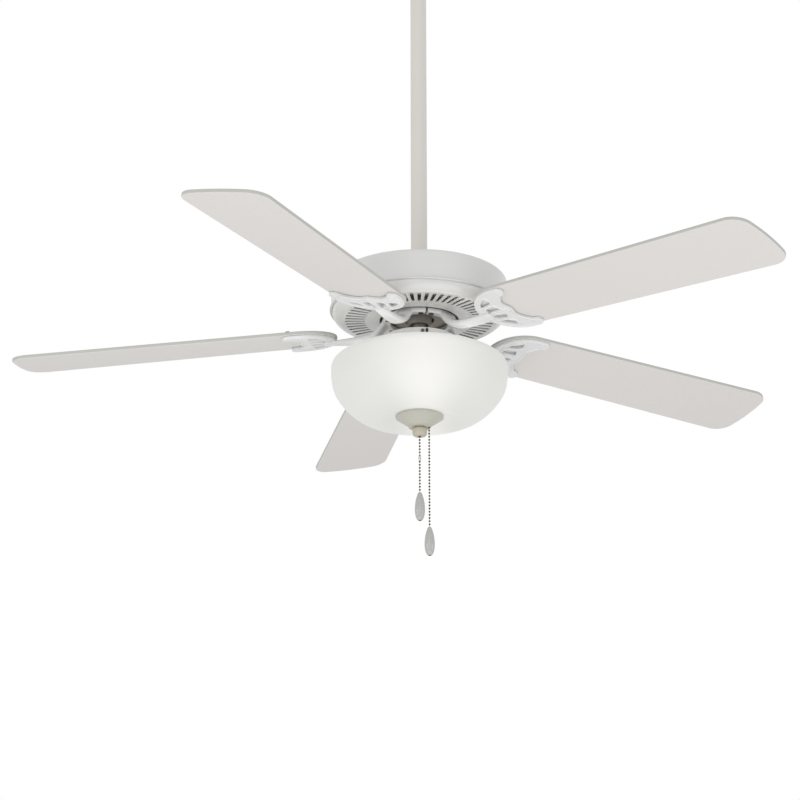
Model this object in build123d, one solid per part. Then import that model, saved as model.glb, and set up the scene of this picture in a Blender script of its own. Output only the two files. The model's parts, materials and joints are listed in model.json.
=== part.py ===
from build123d import *
from math import cos, sin, radians, sqrt
import os

# A five-blade ceiling fan with a bowl light, hung on a long rod. Millimetres, +Z up.
# The origin is the centre of the hanger bracket's top face, which lies against the ceiling.

# ---- driving sizes -------------------------------------------------------------------------
SPAN = 1320.8            # across the blade tips
BLADE_COUNT = 5
BLADE_AZIMUTH = 29.8     # first blade at rest, degrees from +X
ROD_LENGTH = 610.0
ROD_R = 13.35
ROD_WALL = 2.9
HOUSING_R = 142.0
DRUM_HEIGHT = 51.0
BOWL_R = 141.0
BOWL_DEPTH = 114.5       # from the glass lip to its lowest ring
SWITCH_R = 60.0
CANOPY_R = 67.5
SHEET = 1.2              # steel sheet of the canopy, covers and pans
SEAT = 0.05              # gap between pieces that are clamped together
RUN = 0.04               # radial running clearance of a bearing or bush
EASY = 0.3               # clearance of a piece that drops into place

# ---- ceiling end ---------------------------------------------------------------------------
BRACKET_T = 3.0
BRACKET_W = 44.0
TAB_W = 20.0
TAB_DROP = 16.0
BOX_SLOT_SPACING = 89.0
BOX_SLOT_L = 12.0
BOX_SLOT_R = 2.75
WIRE_HOLE_R = 14.0
BALL_R = 30.0
BALL_Z = -42.0
BALL_TOP = 14.0          # flat top of the ball above its centre
SOCKET_R = 40.0
SOCKET_DROP = 20.0       # socket's lower face below the ball's centre
SOCKET_H = 15.0
SOCKET_SLOT = 29.5       # gap that the rod passes through
LEG_X = 36.0
LEG_W = 28.0
KEY_W = 5.0
CANOPY_MOUTH_R = 34.0
CANOPY_DEPTH = 68.0
PIN_R = 3.2
ROD_PIN_INSET = 16.0     # pin holes from either end of the rod
SCREW_M5_R = 2.4
SCREW_M4_R = 1.95

ROD_TOP = BALL_Z + ROD_PIN_INSET
ROD_BOTTOM = ROD_TOP - ROD_LENGTH
ROD_BORE_R = ROD_R - ROD_WALL

# ---- yoke and motor ------------------------------------------------------------------------
YOKE_FLANGE_R = 30.0
YOKE_FLANGE_T = 3.5
YOKE_R = 17.5
YOKE_H = 34.0
YOKE_SCREW_R = 24.0
HOUSING_TOP = ROD_BOTTOM - 5.0
HOUSING_WALL = 1.5
COVER_R = 42.0
COVER_H = 38.0
SHAFT_R = 10.0
SHAFT_BORE_R = 7.6
ROTOR_R = 86.0
ROTOR_T = 2.0
ROTOR_GAP = 8.5          # between the housing's top sheet and the rotor
ROTOR_H = 46.0
HUB_RISE = 6.0           # upper bearing's seat above the rotor case
COIL_CLEAR = 3.0         # above and below the windings
CAGE_T = 11.4
AIR_GAP = 0.6
STATOR_H = 20.0
COIL_IN = 24.0
COIL_OUT = 58.0
COIL_H = 9.0
BEARING_R = 16.0
BEARING_H = 8.0
RING_R = 12.9
RING_T = 1.2
CUP_DEPTH = 19.5
CUP_SEAT = 9.5           # bearing seat above the cup's mouth
CUP_LIP = 3.5            # width of the cup's mouth ring
CUP_TOP_R = 21.0
CUP_MOUTH_R = 18.5
FLYWHEEL_IN = 24.0
FLYWHEEL_OUT = 57.0
FLYWHEEL_H = 9.75
SHOULDER_R = 125.0
SHOULDER_DROP = 16.0     # from the drum's lower edge to the vent plate
VENT_SLOTS = 60
VENT_IN = 87.0
VENT_OUT = 120.0
VENT_HOLE_R = 64.0

DRUM_BOTTOM = HOUSING_TOP - DRUM_HEIGHT
VENT_Z = DRUM_BOTTOM - SHOULDER_DROP
ROTOR_TOP = HOUSING_TOP - HOUSING_WALL - ROTOR_GAP
ROTOR_BOTTOM = ROTOR_TOP - ROTOR_H
FLYWHEEL_BOTTOM = ROTOR_BOTTOM - FLYWHEEL_H
CUP_BOTTOM = ROTOR_BOTTOM - CUP_DEPTH
STATOR_TOP = ROTOR_TOP - ROTOR_T - COIL_H - COIL_CLEAR

# ---- blades and irons ----------------------------------------------------------------------
FOOT_T = 8.0
FOOT_IN = 46.0
FOOT_OUT = 60.0
FOOT_GAP = 3.0           # degrees between neighbouring feet
ARM_W = 23.0
ARM_T = 11.0
ARM_DROP = 27.7          # of the arm's middle line below the foot's
ARM_BEND_IN = 57.0
ARM_BEND_MID = 67.5      # radius and depth of the arm's steepest point's end
ARM_MID_DROP = 19.0
ARM_BEND_OUT = 89.0
ARM_BEND_R = 12.0
ARM_END = 147.0
BLADE_DROP = 20.25       # blade plane below the foot's underside
BLADE_PITCH = 10.45
BLADE_DROOP = 2.9
PLANE_R = 200.0          # radius where the blade's underside meets the blade plane
BLADE_T = 6.0
BLADE_ROOT_R = 59.8
BLADE_ROOT_C = 193.0
BLADE_TIP_W = 137.0
BLADE_CORNER_R = 30.0
TIP_BULGE = 7.0
PAD_T = 6.0
PAD_INSET = 2.8
EAR_R = 9.0
EAR_U = 206.0
WAIST_U = 189.5
CUSP_U = 194.0
CENTRE_SCREW_U = 181.0
SCREW_HEAD_R = 6.0
SCREW_HEAD_H = 3.4
BLADE_HOLE_R = 2.7
FOOT_SCREW_R = 53.0
FOOT_SCREW_ANGLE = 27.0

FOOT_TOP = FLYWHEEL_BOTTOM - SEAT
FOOT_BOTTOM = FOOT_TOP - FOOT_T
BLADE_Z = FOOT_BOTTOM - BLADE_DROP
TIP_R = SPAN / 2

# ---- switch housing and light --------------------------------------------------------------
SWITCH_TOP = BLADE_Z - 6.0
SWITCH_H = 34.0
NECK_R = 13.0
NECK_H = 12.0
FLANGE_H = 10.0
PAN_FLANGE_R = 74.0
PAN_RISE = 14.0
LIP_OUT = 76.0
LIP_IN = 70.0
GLASS_T = 3.5
BOWL_MID = 28.0          # widest level below the lip
BOWL_RING_R = 68.0       # lowest ring of the bowl
BOWL_KICK = 8.0          # rise of the bowl's middle above that ring
BOWL_FLAT_R = 41.0
GLASS_HOLE_R = 20.0
GASKET_IN = 22.0
GASKET_OUT = 36.0
GASKET_T = 1.0
CAP_R = 38.0
CAP_H = 18.5
CAP_END_R = 17.5
NIPPLE_R = 5.0
NIPPLE_BORE_R = 2.6
KNOB_R = 11.5
KNOB_H = 14.5
KNOB_THREAD = 8.0
NUT_R = 8.5
NUT_H = 4.0
LIGHT_CHAIN_X = 15.0
REVERSE_AZIMUTH = -78.5
SIDE_SCREWS = (REVERSE_AZIMUTH - 6.5, REVERSE_AZIMUTH + 120, REVERSE_AZIMUTH + 240)
SLOT_W = 3.6
SLOT_H = 9.0
SLIDER_H = 4.6
PULL_BOX_H = 18.0
LAMP_Z_DROP = 39.0       # lamp axis below the fitter pan
HOLDER_R = 17.0
HOLDER_L = 30.0
BULB_R = 24.0
BULB_L = 80.0
STRAP_Y = 16.0
STRAP_T = 1.5
STRAP_W = 22.0

SWITCH_BOTTOM = SWITCH_TOP - SWITCH_H
PAN_BOTTOM = SWITCH_BOTTOM - SEAT - SHEET
LIP_Z = PAN_BOTTOM + SHEET + PAN_RISE - SHEET - SEAT
BOWL_BOTTOM = LIP_Z - BOWL_DEPTH
BOWL_SEAT = BOWL_BOTTOM + BOWL_KICK
CAP_TOP = BOWL_SEAT - GASKET_T
CAP_BOTTOM = CAP_TOP - CAP_H
KNOB_TOP = CAP_BOTTOM - EASY
NIPPLE_TOP = SWITCH_BOTTOM + SHEET + NUT_H + 2.0
NIPPLE_BOTTOM = KNOB_TOP - KNOB_THREAD
LAMP_Z = PAN_BOTTOM - LAMP_Z_DROP

# ---- pull chains ---------------------------------------------------------------------------
CHAIN_R = 1.6
FAN_CHAIN_END = BLADE_Z - 261.0
LIGHT_CHAIN_END = BLADE_Z - 317.0
COUPLING_Z = BLADE_Z - 204.0
COUPLING_R = 3.2
COUPLING_H = 9.5
PULL_L = 45.0
PULL_R = 8.0


def save(shape, node):
    export_step(shape, f"parts/{node}.step")


def spin(points):
    """A solid of revolution about Z from a closed outline of (radius, height) points."""
    with BuildPart() as made:
        with BuildSketch(Plane.XZ):
            with BuildLine():
                Polyline(*points, close=True)
            make_face()
        revolve(axis=Axis.Z)
    return made.part


def tube(outer, inner, low, high):
    return spin([(inner, low), (outer, low), (outer, high), (inner, high)])


def rod(radius, low, high, x=0.0, y=0.0):
    return Pos(x, y, (low + high) / 2) * Cylinder(radius, high - low)


def block(x, y, z):
    """A box between pairs of limits along each axis."""
    size = [high - low for low, high in (x, y, z)]
    middle = [(high + low) / 2 for low, high in (x, y, z)]
    return Pos(*middle) * Box(*size)


def radial_rod(radius, start, end, azimuth, z):
    """A round bar that lies along a radius of the fan."""
    bar = Pos((start + end) / 2, 0, z) * Rot(0, 90, 0) * Cylinder(radius, end - start)
    return Rot(0, 0, azimuth) * bar


def around(shape, count, first=0.0):
    return [Rot(0, 0, first + 360 * i / count) * shape for i in range(count)]


# ---- ceiling end ---------------------------------------------------------------------------
def make_bracket():
    """Stamped plate on the ceiling, two legs, and the open ring that the ball sits in."""
    tab_x = CANOPY_R - SHEET - 1.3
    body = block((-BRACKET_W, BRACKET_W), (-BRACKET_W / 2, BRACKET_W / 2), (-BRACKET_T, 0))
    body += block((-tab_x, tab_x), (-TAB_W / 2, TAB_W / 2), (-BRACKET_T, 0))
    ring_low = BALL_Z - SOCKET_DROP
    for side in (-1, 1):
        tab = sorted((side * tab_x, side * (tab_x - 1.5)))
        leg = sorted((side * LEG_X, side * (LEG_X + 3)))
        body += block(tab, (-TAB_W / 2, TAB_W / 2), (-TAB_DROP, 0))
        body += block(leg, (-LEG_W / 2, LEG_W / 2), (ring_low, 0))
    body += rod(SOCKET_R, ring_low, ring_low + SOCKET_H)
    body -= Pos(0, 0, BALL_Z) * Sphere(BALL_R + EASY)
    body -= block((-SOCKET_SLOT / 2, SOCKET_SLOT / 2), (-SOCKET_R - 5, 0), (ring_low - 1, BALL_Z))
    body += block((-KEY_W / 2, KEY_W / 2), (BALL_R - 4, BALL_R + 4), (ring_low + 2, ring_low + 11))
    body -= rod(WIRE_HOLE_R, -BRACKET_T - 1, 1)
    half = BOX_SLOT_L / 2 - BOX_SLOT_R
    for side in (-1, 1):
        middle = side * BOX_SLOT_SPACING / 2
        for end in (-half, half):
            body -= rod(BOX_SLOT_R, -BRACKET_T - 1, 1, middle + end)
        body -= block((middle - half, middle + half), (-BOX_SLOT_R, BOX_SLOT_R), (-BRACKET_T - 1, 1))
    for azimuth in (0, 180):
        body -= radial_rod(SCREW_M4_R + RUN, tab_x - 4, tab_x + 4, azimuth, -10)
    return body


def canopy_outline(inset):
    """Half section of the canopy's bell, its mouth down."""
    r, low = CANOPY_R - inset, -CANOPY_DEPTH
    return [(r, -EASY), (r, -20), (CANOPY_R - 6 - inset, -42), (CANOPY_R - 17 - inset, low + 6 + inset)]


def make_canopy():
    outer = canopy_outline(0)
    inner = canopy_outline(SHEET)
    mouth = (CANOPY_MOUTH_R, -CANOPY_DEPTH)
    mouth_in = (CANOPY_MOUTH_R, -CANOPY_DEPTH + SHEET)
    with BuildPart() as made:
        with BuildSketch(Plane.XZ):
            with BuildLine():
                Line(outer[0], outer[1])
                Spline(*outer[1:], mouth, tangents=[(0, -1), (-1, -0.1)])
                Line(mouth, mouth_in)
                Spline(mouth_in, *inner[:0:-1], tangents=[(1, 0.1), (0, 1)])
                Line(inner[1], inner[0])
                Line(inner[0], outer[0])
            make_face()
        revolve(axis=Axis.Z)
    body = made.part
    for azimuth in (0, 180):
        body -= radial_rod(SCREW_M4_R + EASY, CANOPY_R - 6, CANOPY_R + 2, azimuth, -10)
    return body


def make_canopy_screws():
    screws = []
    for azimuth in (0, 180):
        shank = radial_rod(SCREW_M4_R, CANOPY_R - 9, CANOPY_R + 1, azimuth, -10)
        head = radial_rod(4.0, CANOPY_R + SEAT, CANOPY_R + 2.6, azimuth, -10)
        screws.append(shank + head)
    return Compound(children=screws)


def make_ball():
    """Hanger ball: flat top, bore for the rod, and a groove that the bracket's key sits in."""
    body = Pos(0, 0, BALL_Z) * Sphere(BALL_R)
    body -= block((-40, 40), (-40, 40), (BALL_Z + BALL_TOP, BALL_Z + BALL_R + 1))
    body -= rod(ROD_R + 0.1, BALL_Z - BALL_R - 1, BALL_Z + BALL_R)
    groove = block((-KEY_W / 2 - 0.5, KEY_W / 2 + 0.5), (0, 40), (BALL_Z - 40, BALL_Z + 40))
    groove -= Pos(0, 0, BALL_Z) * Rot(0, 90, 0) * Cylinder(BALL_R - 4.6, 20)
    body -= groove
    body -= Pos(0, 0, BALL_Z) * Rot(0, 90, 0) * Cylinder(PIN_R + RUN, 80)
    body -= radial_rod(SCREW_M5_R + RUN, ROD_R - 1, BALL_R + 5, -90, BALL_Z + 8)
    return body


def make_rod():
    body = tube(ROD_R, ROD_BORE_R, ROD_BOTTOM, ROD_TOP)
    for z in (ROD_TOP - ROD_PIN_INSET, ROD_BOTTOM + ROD_PIN_INSET):
        body -= Pos(0, 0, z) * Rot(0, 90, 0) * Cylinder(PIN_R + RUN, 80)
    return body


def make_ball_pin():
    reach = sqrt(BALL_R ** 2 - PIN_R ** 2) - 1
    return Pos(0, 0, BALL_Z) * Rot(0, 90, 0) * Cylinder(PIN_R, 2 * reach)


# ---- yoke and covers -----------------------------------------------------------------------
def make_yoke():
    """Flanged collar that joins the rod to the motor; the shaft is fixed in its base."""
    base = HOUSING_TOP + SEAT
    body = rod(YOKE_FLANGE_R, base, base + YOKE_FLANGE_T)
    body += rod(YOKE_R, base, base + YOKE_H)
    body -= rod(ROD_R + 0.1, ROD_BOTTOM - SEAT, base + YOKE_H + 1)
    body -= rod(SHAFT_R + RUN, base - 1, ROD_BOTTOM)
    body -= Pos(0, 0, ROD_BOTTOM + ROD_PIN_INSET) * Rot(0, 90, 0) * Cylinder(PIN_R + RUN, 80)
    for hole in around(rod(SCREW_M5_R + RUN, base - 1, base + 5, YOKE_SCREW_R), 3, 30):
        body -= hole
    for azimuth in (60, 120):
        body -= radial_rod(SCREW_M5_R + RUN, ROD_R - 1, YOKE_R + 2, azimuth, base + YOKE_H - 7)
    return body


def make_clevis_pin():
    """Headed pin with a cross hole for its clip."""
    z = ROD_BOTTOM + ROD_PIN_INSET
    body = radial_rod(PIN_R, -YOKE_R - 6, YOKE_R + 1, 0, z)
    body += radial_rod(5.0, YOKE_R + 0.2, YOKE_R + 2.7, 0, z)
    body -= rod(1.1, z - 6, z + 6, -YOKE_R - 3.5)
    return body


def make_clevis_clip():
    """Spring clip: one leg through the pin, bent over and back down beside it."""
    z, x = ROD_BOTTOM + ROD_PIN_INSET, -YOKE_R - 3.5
    with BuildPart() as made:
        with BuildLine() as path:
            FilletPolyline((x, 0, z - 7), (x, 0, z + 6), (x, 5.6, z + 6), (x, 5.6, z - 4), radius=2.7)
        with BuildSketch(Plane(origin=(x, 0, z - 7), z_dir=(0, 0, 1))):
            Circle(0.9)
        sweep(path=path.line)
    return made.part


def make_rod_screws():
    """Three flange screws, and the set screws against the rod: two in the yoke, one in the ball."""
    base = HOUSING_TOP + SEAT + YOKE_FLANGE_T
    screw = rod(SCREW_M5_R, HOUSING_TOP - 5, base + 1, YOKE_SCREW_R)
    screw += rod(4.2, base + SEAT, base + 3, YOKE_SCREW_R)
    screws = around(screw, 3, 30)
    z = HOUSING_TOP + SEAT + YOKE_H - 7
    for azimuth in (60, 120):
        screws.append(radial_rod(SCREW_M5_R, ROD_R + SEAT, YOKE_R + 3, azimuth, z))
    screws.append(radial_rod(SCREW_M5_R, ROD_R + SEAT, BALL_R - 5, -90, BALL_Z + 8))
    return Compound(children=screws)


def make_coupling_cover():
    low = HOUSING_TOP + SEAT
    high = low + COVER_H
    t = SHEET
    top = ROD_R + 4.5
    outer = [(COVER_R, low), (COVER_R, low + 5), (COVER_R - 6, low + 18), (top + 2, high - 4)]
    inner = [(r - t, z) for r, z in outer]
    with BuildPart() as made:
        with BuildSketch(Plane.XZ):
            with BuildLine():
                Line(outer[0], outer[1])
                Spline(*outer[1:], (top, high), tangents=[(0, 1), (-0.3, 1)])
                Line((top, high), (top - t, high))
                Spline((top - t, high), *inner[:0:-1], tangents=[(0.3, -1), (0, -1)])
                Line(inner[1], inner[0])
                Line(inner[0], outer[0])
            make_face()
        revolve(axis=Axis.Z)
    return made.part


def make_upper_housing():
    """Drum of the motor housing, open below, with a rounded top edge and a rolled lower one."""
    r, w, edge = HOUSING_R, HOUSING_WALL, 6.0
    low, high = DRUM_BOTTOM, HOUSING_TOP
    hole = SHAFT_R + EASY
    with BuildPart() as made:
        with BuildSketch(Plane.XZ):
            with BuildLine():
                Line((hole, high), (r - edge, high))
                RadiusArc((r - edge, high), (r, high - edge), edge)
                Line((r, high - edge), (r, low + 3))
                ThreePointArc((r, low + 3), (r + 1.2, low + 1.5), (r, low))
                Line((r, low), (r - w, low))
                Line((r - w, low), (r - w, high - edge))
                RadiusArc((r - w, high - edge), (r - edge, high - w), -(edge - w))
                Line((r - edge, high - w), (hole, high - w))
                Line((hole, high - w), (hole, high))
            make_face()
        revolve(axis=Axis.Z)
    body = made.part
    for hole in around(rod(SCREW_M5_R + RUN, high - 5, high + 1, YOKE_SCREW_R), 3, 30):
        body -= hole
    return body


def make_vent_slot():
    """One tapered slot, as wide as half its pitch."""
    half = radians(360 / VENT_SLOTS) / 4
    inner, outer = VENT_IN * half, VENT_OUT * half
    with BuildSketch(Plane.XY.offset(VENT_Z - 2)) as made:
        with BuildLine():
            Line((VENT_IN + inner, -inner), (VENT_OUT - outer, -outer))
            ThreePointArc((VENT_OUT - outer, -outer), (VENT_OUT, 0), (VENT_OUT - outer, outer))
            Line((VENT_OUT - outer, outer), (VENT_IN + inner, inner))
            ThreePointArc((VENT_IN + inner, inner), (VENT_IN, 0), (VENT_IN + inner, -inner))
        make_face()
    return extrude(made.sketch, amount=6)


def make_lower_housing():
    """Shoulder and flat vent plate; its upper lip nests inside the drum."""
    w = HOUSING_WALL
    lip = HOUSING_R - w - EASY
    low, seam = VENT_Z, DRUM_BOTTOM
    with BuildPart() as made:
        with BuildSketch(Plane.XZ):
            with BuildLine():
                Line((lip, seam + 8), (lip, seam - 1))
                Spline((lip, seam - 1), (lip - 5, low + 5), (SHOULDER_R, low), tangents=[(0, -1), (-1, -0.1)])
                Line((SHOULDER_R, low), (VENT_HOLE_R, low))
                Line((VENT_HOLE_R, low), (VENT_HOLE_R, low + w))
                Line((VENT_HOLE_R, low + w), (SHOULDER_R - w, low + w))
                Spline(
                    (SHOULDER_R - w, low + w),
                    (lip - 5 - w, low + 5 + w),
                    (lip - w, seam - 1),
                    tangents=[(1, 0.1), (0, 1)],
                )
                Line((lip - w, seam - 1), (lip - w, seam + 8))
                Line((lip - w, seam + 8), (lip, seam + 8))
            make_face()
        revolve(axis=Axis.Z)
    slot = make_vent_slot()
    return made.part - [Rot(0, 0, i * 360 / VENT_SLOTS) * slot for i in range(VENT_SLOTS)]


# ---- motor ---------------------------------------------------------------------------------
def make_shaft():
    """Fixed hollow shaft from the yoke to the switch housing; the leads run inside it."""
    return tube(SHAFT_R, SHAFT_BORE_R, SWITCH_TOP - SHEET, ROD_BOTTOM - 0.5)


def make_stator():
    core_r = ROTOR_R - ROTOR_T - SEAT - CAGE_T - AIR_GAP
    return tube(core_r, SHAFT_R + RUN, STATOR_TOP - STATOR_H, STATOR_TOP)


def make_windings():
    coils = []
    for low in (STATOR_TOP, STATOR_TOP - STATOR_H - COIL_H):
        c = 2.0
        high = low + COIL_H
        coils.append(spin([
            (COIL_IN, low), (COIL_OUT, low), (COIL_OUT, high - c), (COIL_OUT - c, high),
            (COIL_IN + c, high), (COIL_IN, high - c),
        ]))
    return Compound(children=coils)


def make_rotor_cage():
    r = ROTOR_R - ROTOR_T - SEAT
    return tube(r, r - CAGE_T, STATOR_TOP - STATOR_H - 2, STATOR_TOP + 2)


def make_rotor_case(top):
    """Half of the spinning case, as a dish with a seat for its bearing."""
    middle = (ROTOR_TOP + ROTOR_BOTTOM) / 2
    seat_r = BEARING_R + SEAT
    if top:
        face, sign = ROTOR_TOP, -1
        edge = middle + SEAT
        hub_in = seat_r
    else:
        face, sign = ROTOR_BOTTOM, 1
        edge = middle - SEAT
        hub_in = CUP_TOP_R + SEAT
    r, t = ROTOR_R, ROTOR_T
    points = [(hub_in, face), (r, face), (r, edge), (r - t, edge), (r - t, face + sign * t)]
    if top:
        rise = face + HUB_RISE
        points = [(hub_in, rise), (hub_in + 3, rise), (hub_in + 3, face)] + points[1:]
        points += [(hub_in, face + sign * t)]
    else:
        points += [(hub_in, face + sign * t)]
    return spin(points)


def make_bearings():
    upper = ROTOR_TOP + HUB_RISE - BEARING_H
    lower = CUP_BOTTOM + CUP_SEAT + SEAT
    races = [tube(BEARING_R, SHAFT_R + RUN, low, low + BEARING_H) for low in (upper, lower)]
    return Compound(children=races)


def make_bearing_cup():
    """Tapered cup under the motor that holds the lower bearing; its mouth is open below."""
    seat_low = CUP_BOTTOM + CUP_SEAT
    return spin([
        (CUP_TOP_R, ROTOR_BOTTOM + ROTOR_T), (CUP_TOP_R, ROTOR_BOTTOM - 4), (CUP_MOUTH_R, CUP_BOTTOM),
        (CUP_MOUTH_R - CUP_LIP, CUP_BOTTOM), (CUP_MOUTH_R - CUP_LIP, seat_low), (BEARING_R + SEAT, seat_low),
        (BEARING_R + SEAT, ROTOR_BOTTOM + ROTOR_T),
    ])


def make_retaining_rings():
    """Split rings on the shaft that keep the rotor's bearings in place."""
    rings = []
    upper = ROTOR_TOP + HUB_RISE + EASY
    lower = CUP_BOTTOM + CUP_SEAT - EASY - RING_T
    for low in (upper, lower):
        ring = tube(RING_R, SHAFT_R + 0.02, low, low + RING_T)
        ring -= block((0, 20), (-2, 2), (low - 1, low + RING_T + 1))
        rings.append(ring)
    return Compound(children=rings)


def foot_screw_places():
    step = 360 / BLADE_COUNT
    for i in range(BLADE_COUNT):
        for side in (-1, 1):
            yield BLADE_AZIMUTH + i * step + side * FOOT_SCREW_ANGLE


def make_flywheel():
    """Cast ring under the rotor that the blade irons bolt to."""
    body = tube(FLYWHEEL_OUT, FLYWHEEL_IN, FLYWHEEL_BOTTOM, ROTOR_BOTTOM - SEAT)
    for azimuth in foot_screw_places():
        hole = rod(SCREW_M5_R + RUN, FLYWHEEL_BOTTOM - 1, FLYWHEEL_BOTTOM + 8, FOOT_SCREW_R)
        body -= Rot(0, 0, azimuth) * hole
    return body


def make_iron_screws():
    """Two screws through each iron's foot, up into the flywheel."""
    head_top = FOOT_BOTTOM + 3.2
    screw = rod(SCREW_M5_R, head_top - 0.5, FLYWHEEL_BOTTOM + 7, FOOT_SCREW_R)
    screw += rod(4.4, FOOT_BOTTOM - 0.8, head_top, FOOT_SCREW_R)
    return Compound(children=[Rot(0, 0, azimuth) * screw for azimuth in foot_screw_places()])


# ---- blades and irons ----------------------------------------------------------------------
def blade_plane():
    """Plane of a blade's underside: x outward along the blade, y across it, z up."""
    d, p = radians(BLADE_DROOP), radians(BLADE_PITCH)
    along = Vector(cos(d), 0, -sin(d))
    across = Vector(0, cos(p), -sin(p))
    up = along.cross(across)
    return Plane(origin=(PLANE_R, 0, BLADE_Z), x_dir=along, z_dir=up)


def screw_spots():
    """Blade screws as (distance from the fan's axis, offset from the blade's middle line)."""
    ear = BLADE_ROOT_R - PAD_INSET - EAR_R
    return [(CENTRE_SCREW_U, 0.0), (EAR_U, ear), (EAR_U, -ear)]


def make_blade():
    """Board with a round root, slightly flared sides and a gently curved tip."""
    root_u, half_root, half_tip = BLADE_ROOT_C, BLADE_ROOT_R, BLADE_TIP_W / 2
    side_end = TIP_R - TIP_BULGE
    with BuildPart() as made:
        with BuildSketch():
            with BuildLine():
                ThreePointArc((root_u, half_root), (root_u - half_root, 0), (root_u, -half_root))
                Line((root_u, -half_root), (side_end, -half_tip))
                ThreePointArc((side_end, -half_tip), (TIP_R, 0), (side_end, half_tip))
                Line((side_end, half_tip), (root_u, half_root))
            make_face()
        extrude(amount=BLADE_T)
        tips = made.edges().filter_by(Axis.Z).filter_by(lambda e: e.center().X > side_end - 1)
        fillet(tips, BLADE_CORNER_R)
        rim = made.faces().filter_by(Axis.Z).edges()
        fillet(rim, BLADE_T * 0.3)
    body = made.part
    for u, v in screw_spots():
        body -= rod(BLADE_HOLE_R, -1, BLADE_T + 1, u, v)
    return blade_plane().location * Pos(-PLANE_R, 0, 0) * body


def pad_face():
    """Outline of the openwork pad: a rim round the blade's root, two ears and a wavy front."""
    r = BLADE_ROOT_R - PAD_INSET
    c = BLADE_ROOT_C
    ear = r - EAR_R
    with BuildSketch() as made:
        with BuildLine():
            ThreePointArc((c, -r), (c - r, 0), (c, r))
            Line((c, r), (EAR_U, r))
            ThreePointArc((EAR_U, r), (EAR_U + EAR_R, ear), (EAR_U, ear - EAR_R))
            for side in (1, -1):
                Spline(
                    (EAR_U, side * (ear - EAR_R)),
                    (WAIST_U + 6, side * (ear - EAR_R - 8)),
                    (WAIST_U, side * ear * 0.38),
                    (CUSP_U, 0),
                )
            ThreePointArc((EAR_U, EAR_R - ear), (EAR_U + EAR_R, -ear), (EAR_U, -r))
            Line((EAR_U, -r), (c, -r))
        make_face()
        for side in (1, -1):
            with BuildSketch(mode=Mode.PRIVATE) as window:
                with BuildLine():
                    Polyline(
                        (c - 41, side * 5), (c - 20, side * 5.5), (c - 24, side * 19), (c - 40, side * 14),
                        close=True,
                    )
                make_face()
                fillet(window.vertices(), 2.0)
            add(window.sketch, mode=Mode.SUBTRACT)
            rim_in = r - 9
            low, mid, high = (
                (c - rim_in * cos(radians(a)), side * rim_in * sin(radians(a))) for a in (30, 46, 62)
            )
            with BuildSketch(mode=Mode.PRIVATE) as crescent:
                with BuildLine():
                    ThreePointArc(low, mid, high)
                    ThreePointArc(high, (c - 27, side * 29.5), low)
                make_face()
            add(crescent.sketch, mode=Mode.SUBTRACT)
    return made.sketch


def make_arm():
    """Curved bar that dips from the foot and runs out under the blade's root."""
    foot_mid = FOOT_BOTTOM + FOOT_T / 2
    low = foot_mid - ARM_DROP
    start = FOOT_IN + 1.5
    with BuildPart() as made:
        with BuildSketch(Plane.XZ):
            with BuildLine() as path:
                FilletPolyline(
                    (start, foot_mid), (ARM_BEND_IN, foot_mid), (ARM_BEND_MID, foot_mid - ARM_MID_DROP),
                    (ARM_BEND_OUT, low), (ARM_END, low), radius=ARM_BEND_R,
                )
            trace(path.line, line_width=ARM_T)
        extrude(amount=ARM_W / 2, both=True)
        long_edges = made.edges().filter_by(lambda e: abs(abs(e.center().Y) - ARM_W / 2) < 0.01)
        long_edges = long_edges.filter_by(lambda e: start + 0.1 < e.center().X < ARM_END - 0.1)
        fillet(long_edges, ARM_T * 0.4)
    return made.part - block((0, ARM_END), (-ARM_W, ARM_W), (FOOT_TOP, FOOT_TOP + ARM_T))


def make_foot():
    """Sector of a ring that bolts under the flywheel."""
    half = 180 / BLADE_COUNT - FOOT_GAP / 2
    a = radians(half)
    with BuildPart() as made:
        with BuildSketch(Plane.XY.offset(FOOT_BOTTOM)):
            with BuildLine():
                ThreePointArc(
                    (FOOT_OUT * cos(a), -FOOT_OUT * sin(a)), (FOOT_OUT, 0), (FOOT_OUT * cos(a), FOOT_OUT * sin(a))
                )
                Line((FOOT_OUT * cos(a), FOOT_OUT * sin(a)), (FOOT_IN * cos(a), FOOT_IN * sin(a)))
                ThreePointArc(
                    (FOOT_IN * cos(a), FOOT_IN * sin(a)), (FOOT_IN, 0), (FOOT_IN * cos(a), -FOOT_IN * sin(a))
                )
                Line((FOOT_IN * cos(a), -FOOT_IN * sin(a)), (FOOT_OUT * cos(a), -FOOT_OUT * sin(a)))
            make_face()
        extrude(amount=FOOT_T)
        fillet(made.faces().sort_by(Axis.Z)[0].edges(), 2.0)
    return made.part


def make_iron():
    """Blade iron: foot, dipping arm and openwork pad, cast as one."""
    plane = blade_plane()
    local = plane.location * Pos(-PLANE_R, 0, 0)
    pad = extrude(pad_face(), amount=PAD_T)
    pad = Pos(0, 0, -PAD_T - SEAT) * pad
    body = make_foot() + make_arm()
    above = block((BLADE_ROOT_C - BLADE_ROOT_R - 6, TIP_R), (-90, 90), (-SEAT, 60))
    body -= local * above
    body += local * pad
    for side in (-1, 1):
        angle = side * FOOT_SCREW_ANGLE
        hole = rod(SCREW_M5_R + RUN, FOOT_BOTTOM - 1, FOOT_TOP + 1, FOOT_SCREW_R)
        hole += rod(4.6, FOOT_BOTTOM - 1, FOOT_BOTTOM + 3.2 + SEAT, FOOT_SCREW_R)
        body -= Rot(0, 0, angle) * hole
    for u, v in screw_spots():
        body -= local * rod(SCREW_M5_R + RUN, -4.5, 1, u, v)
    return body


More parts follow.
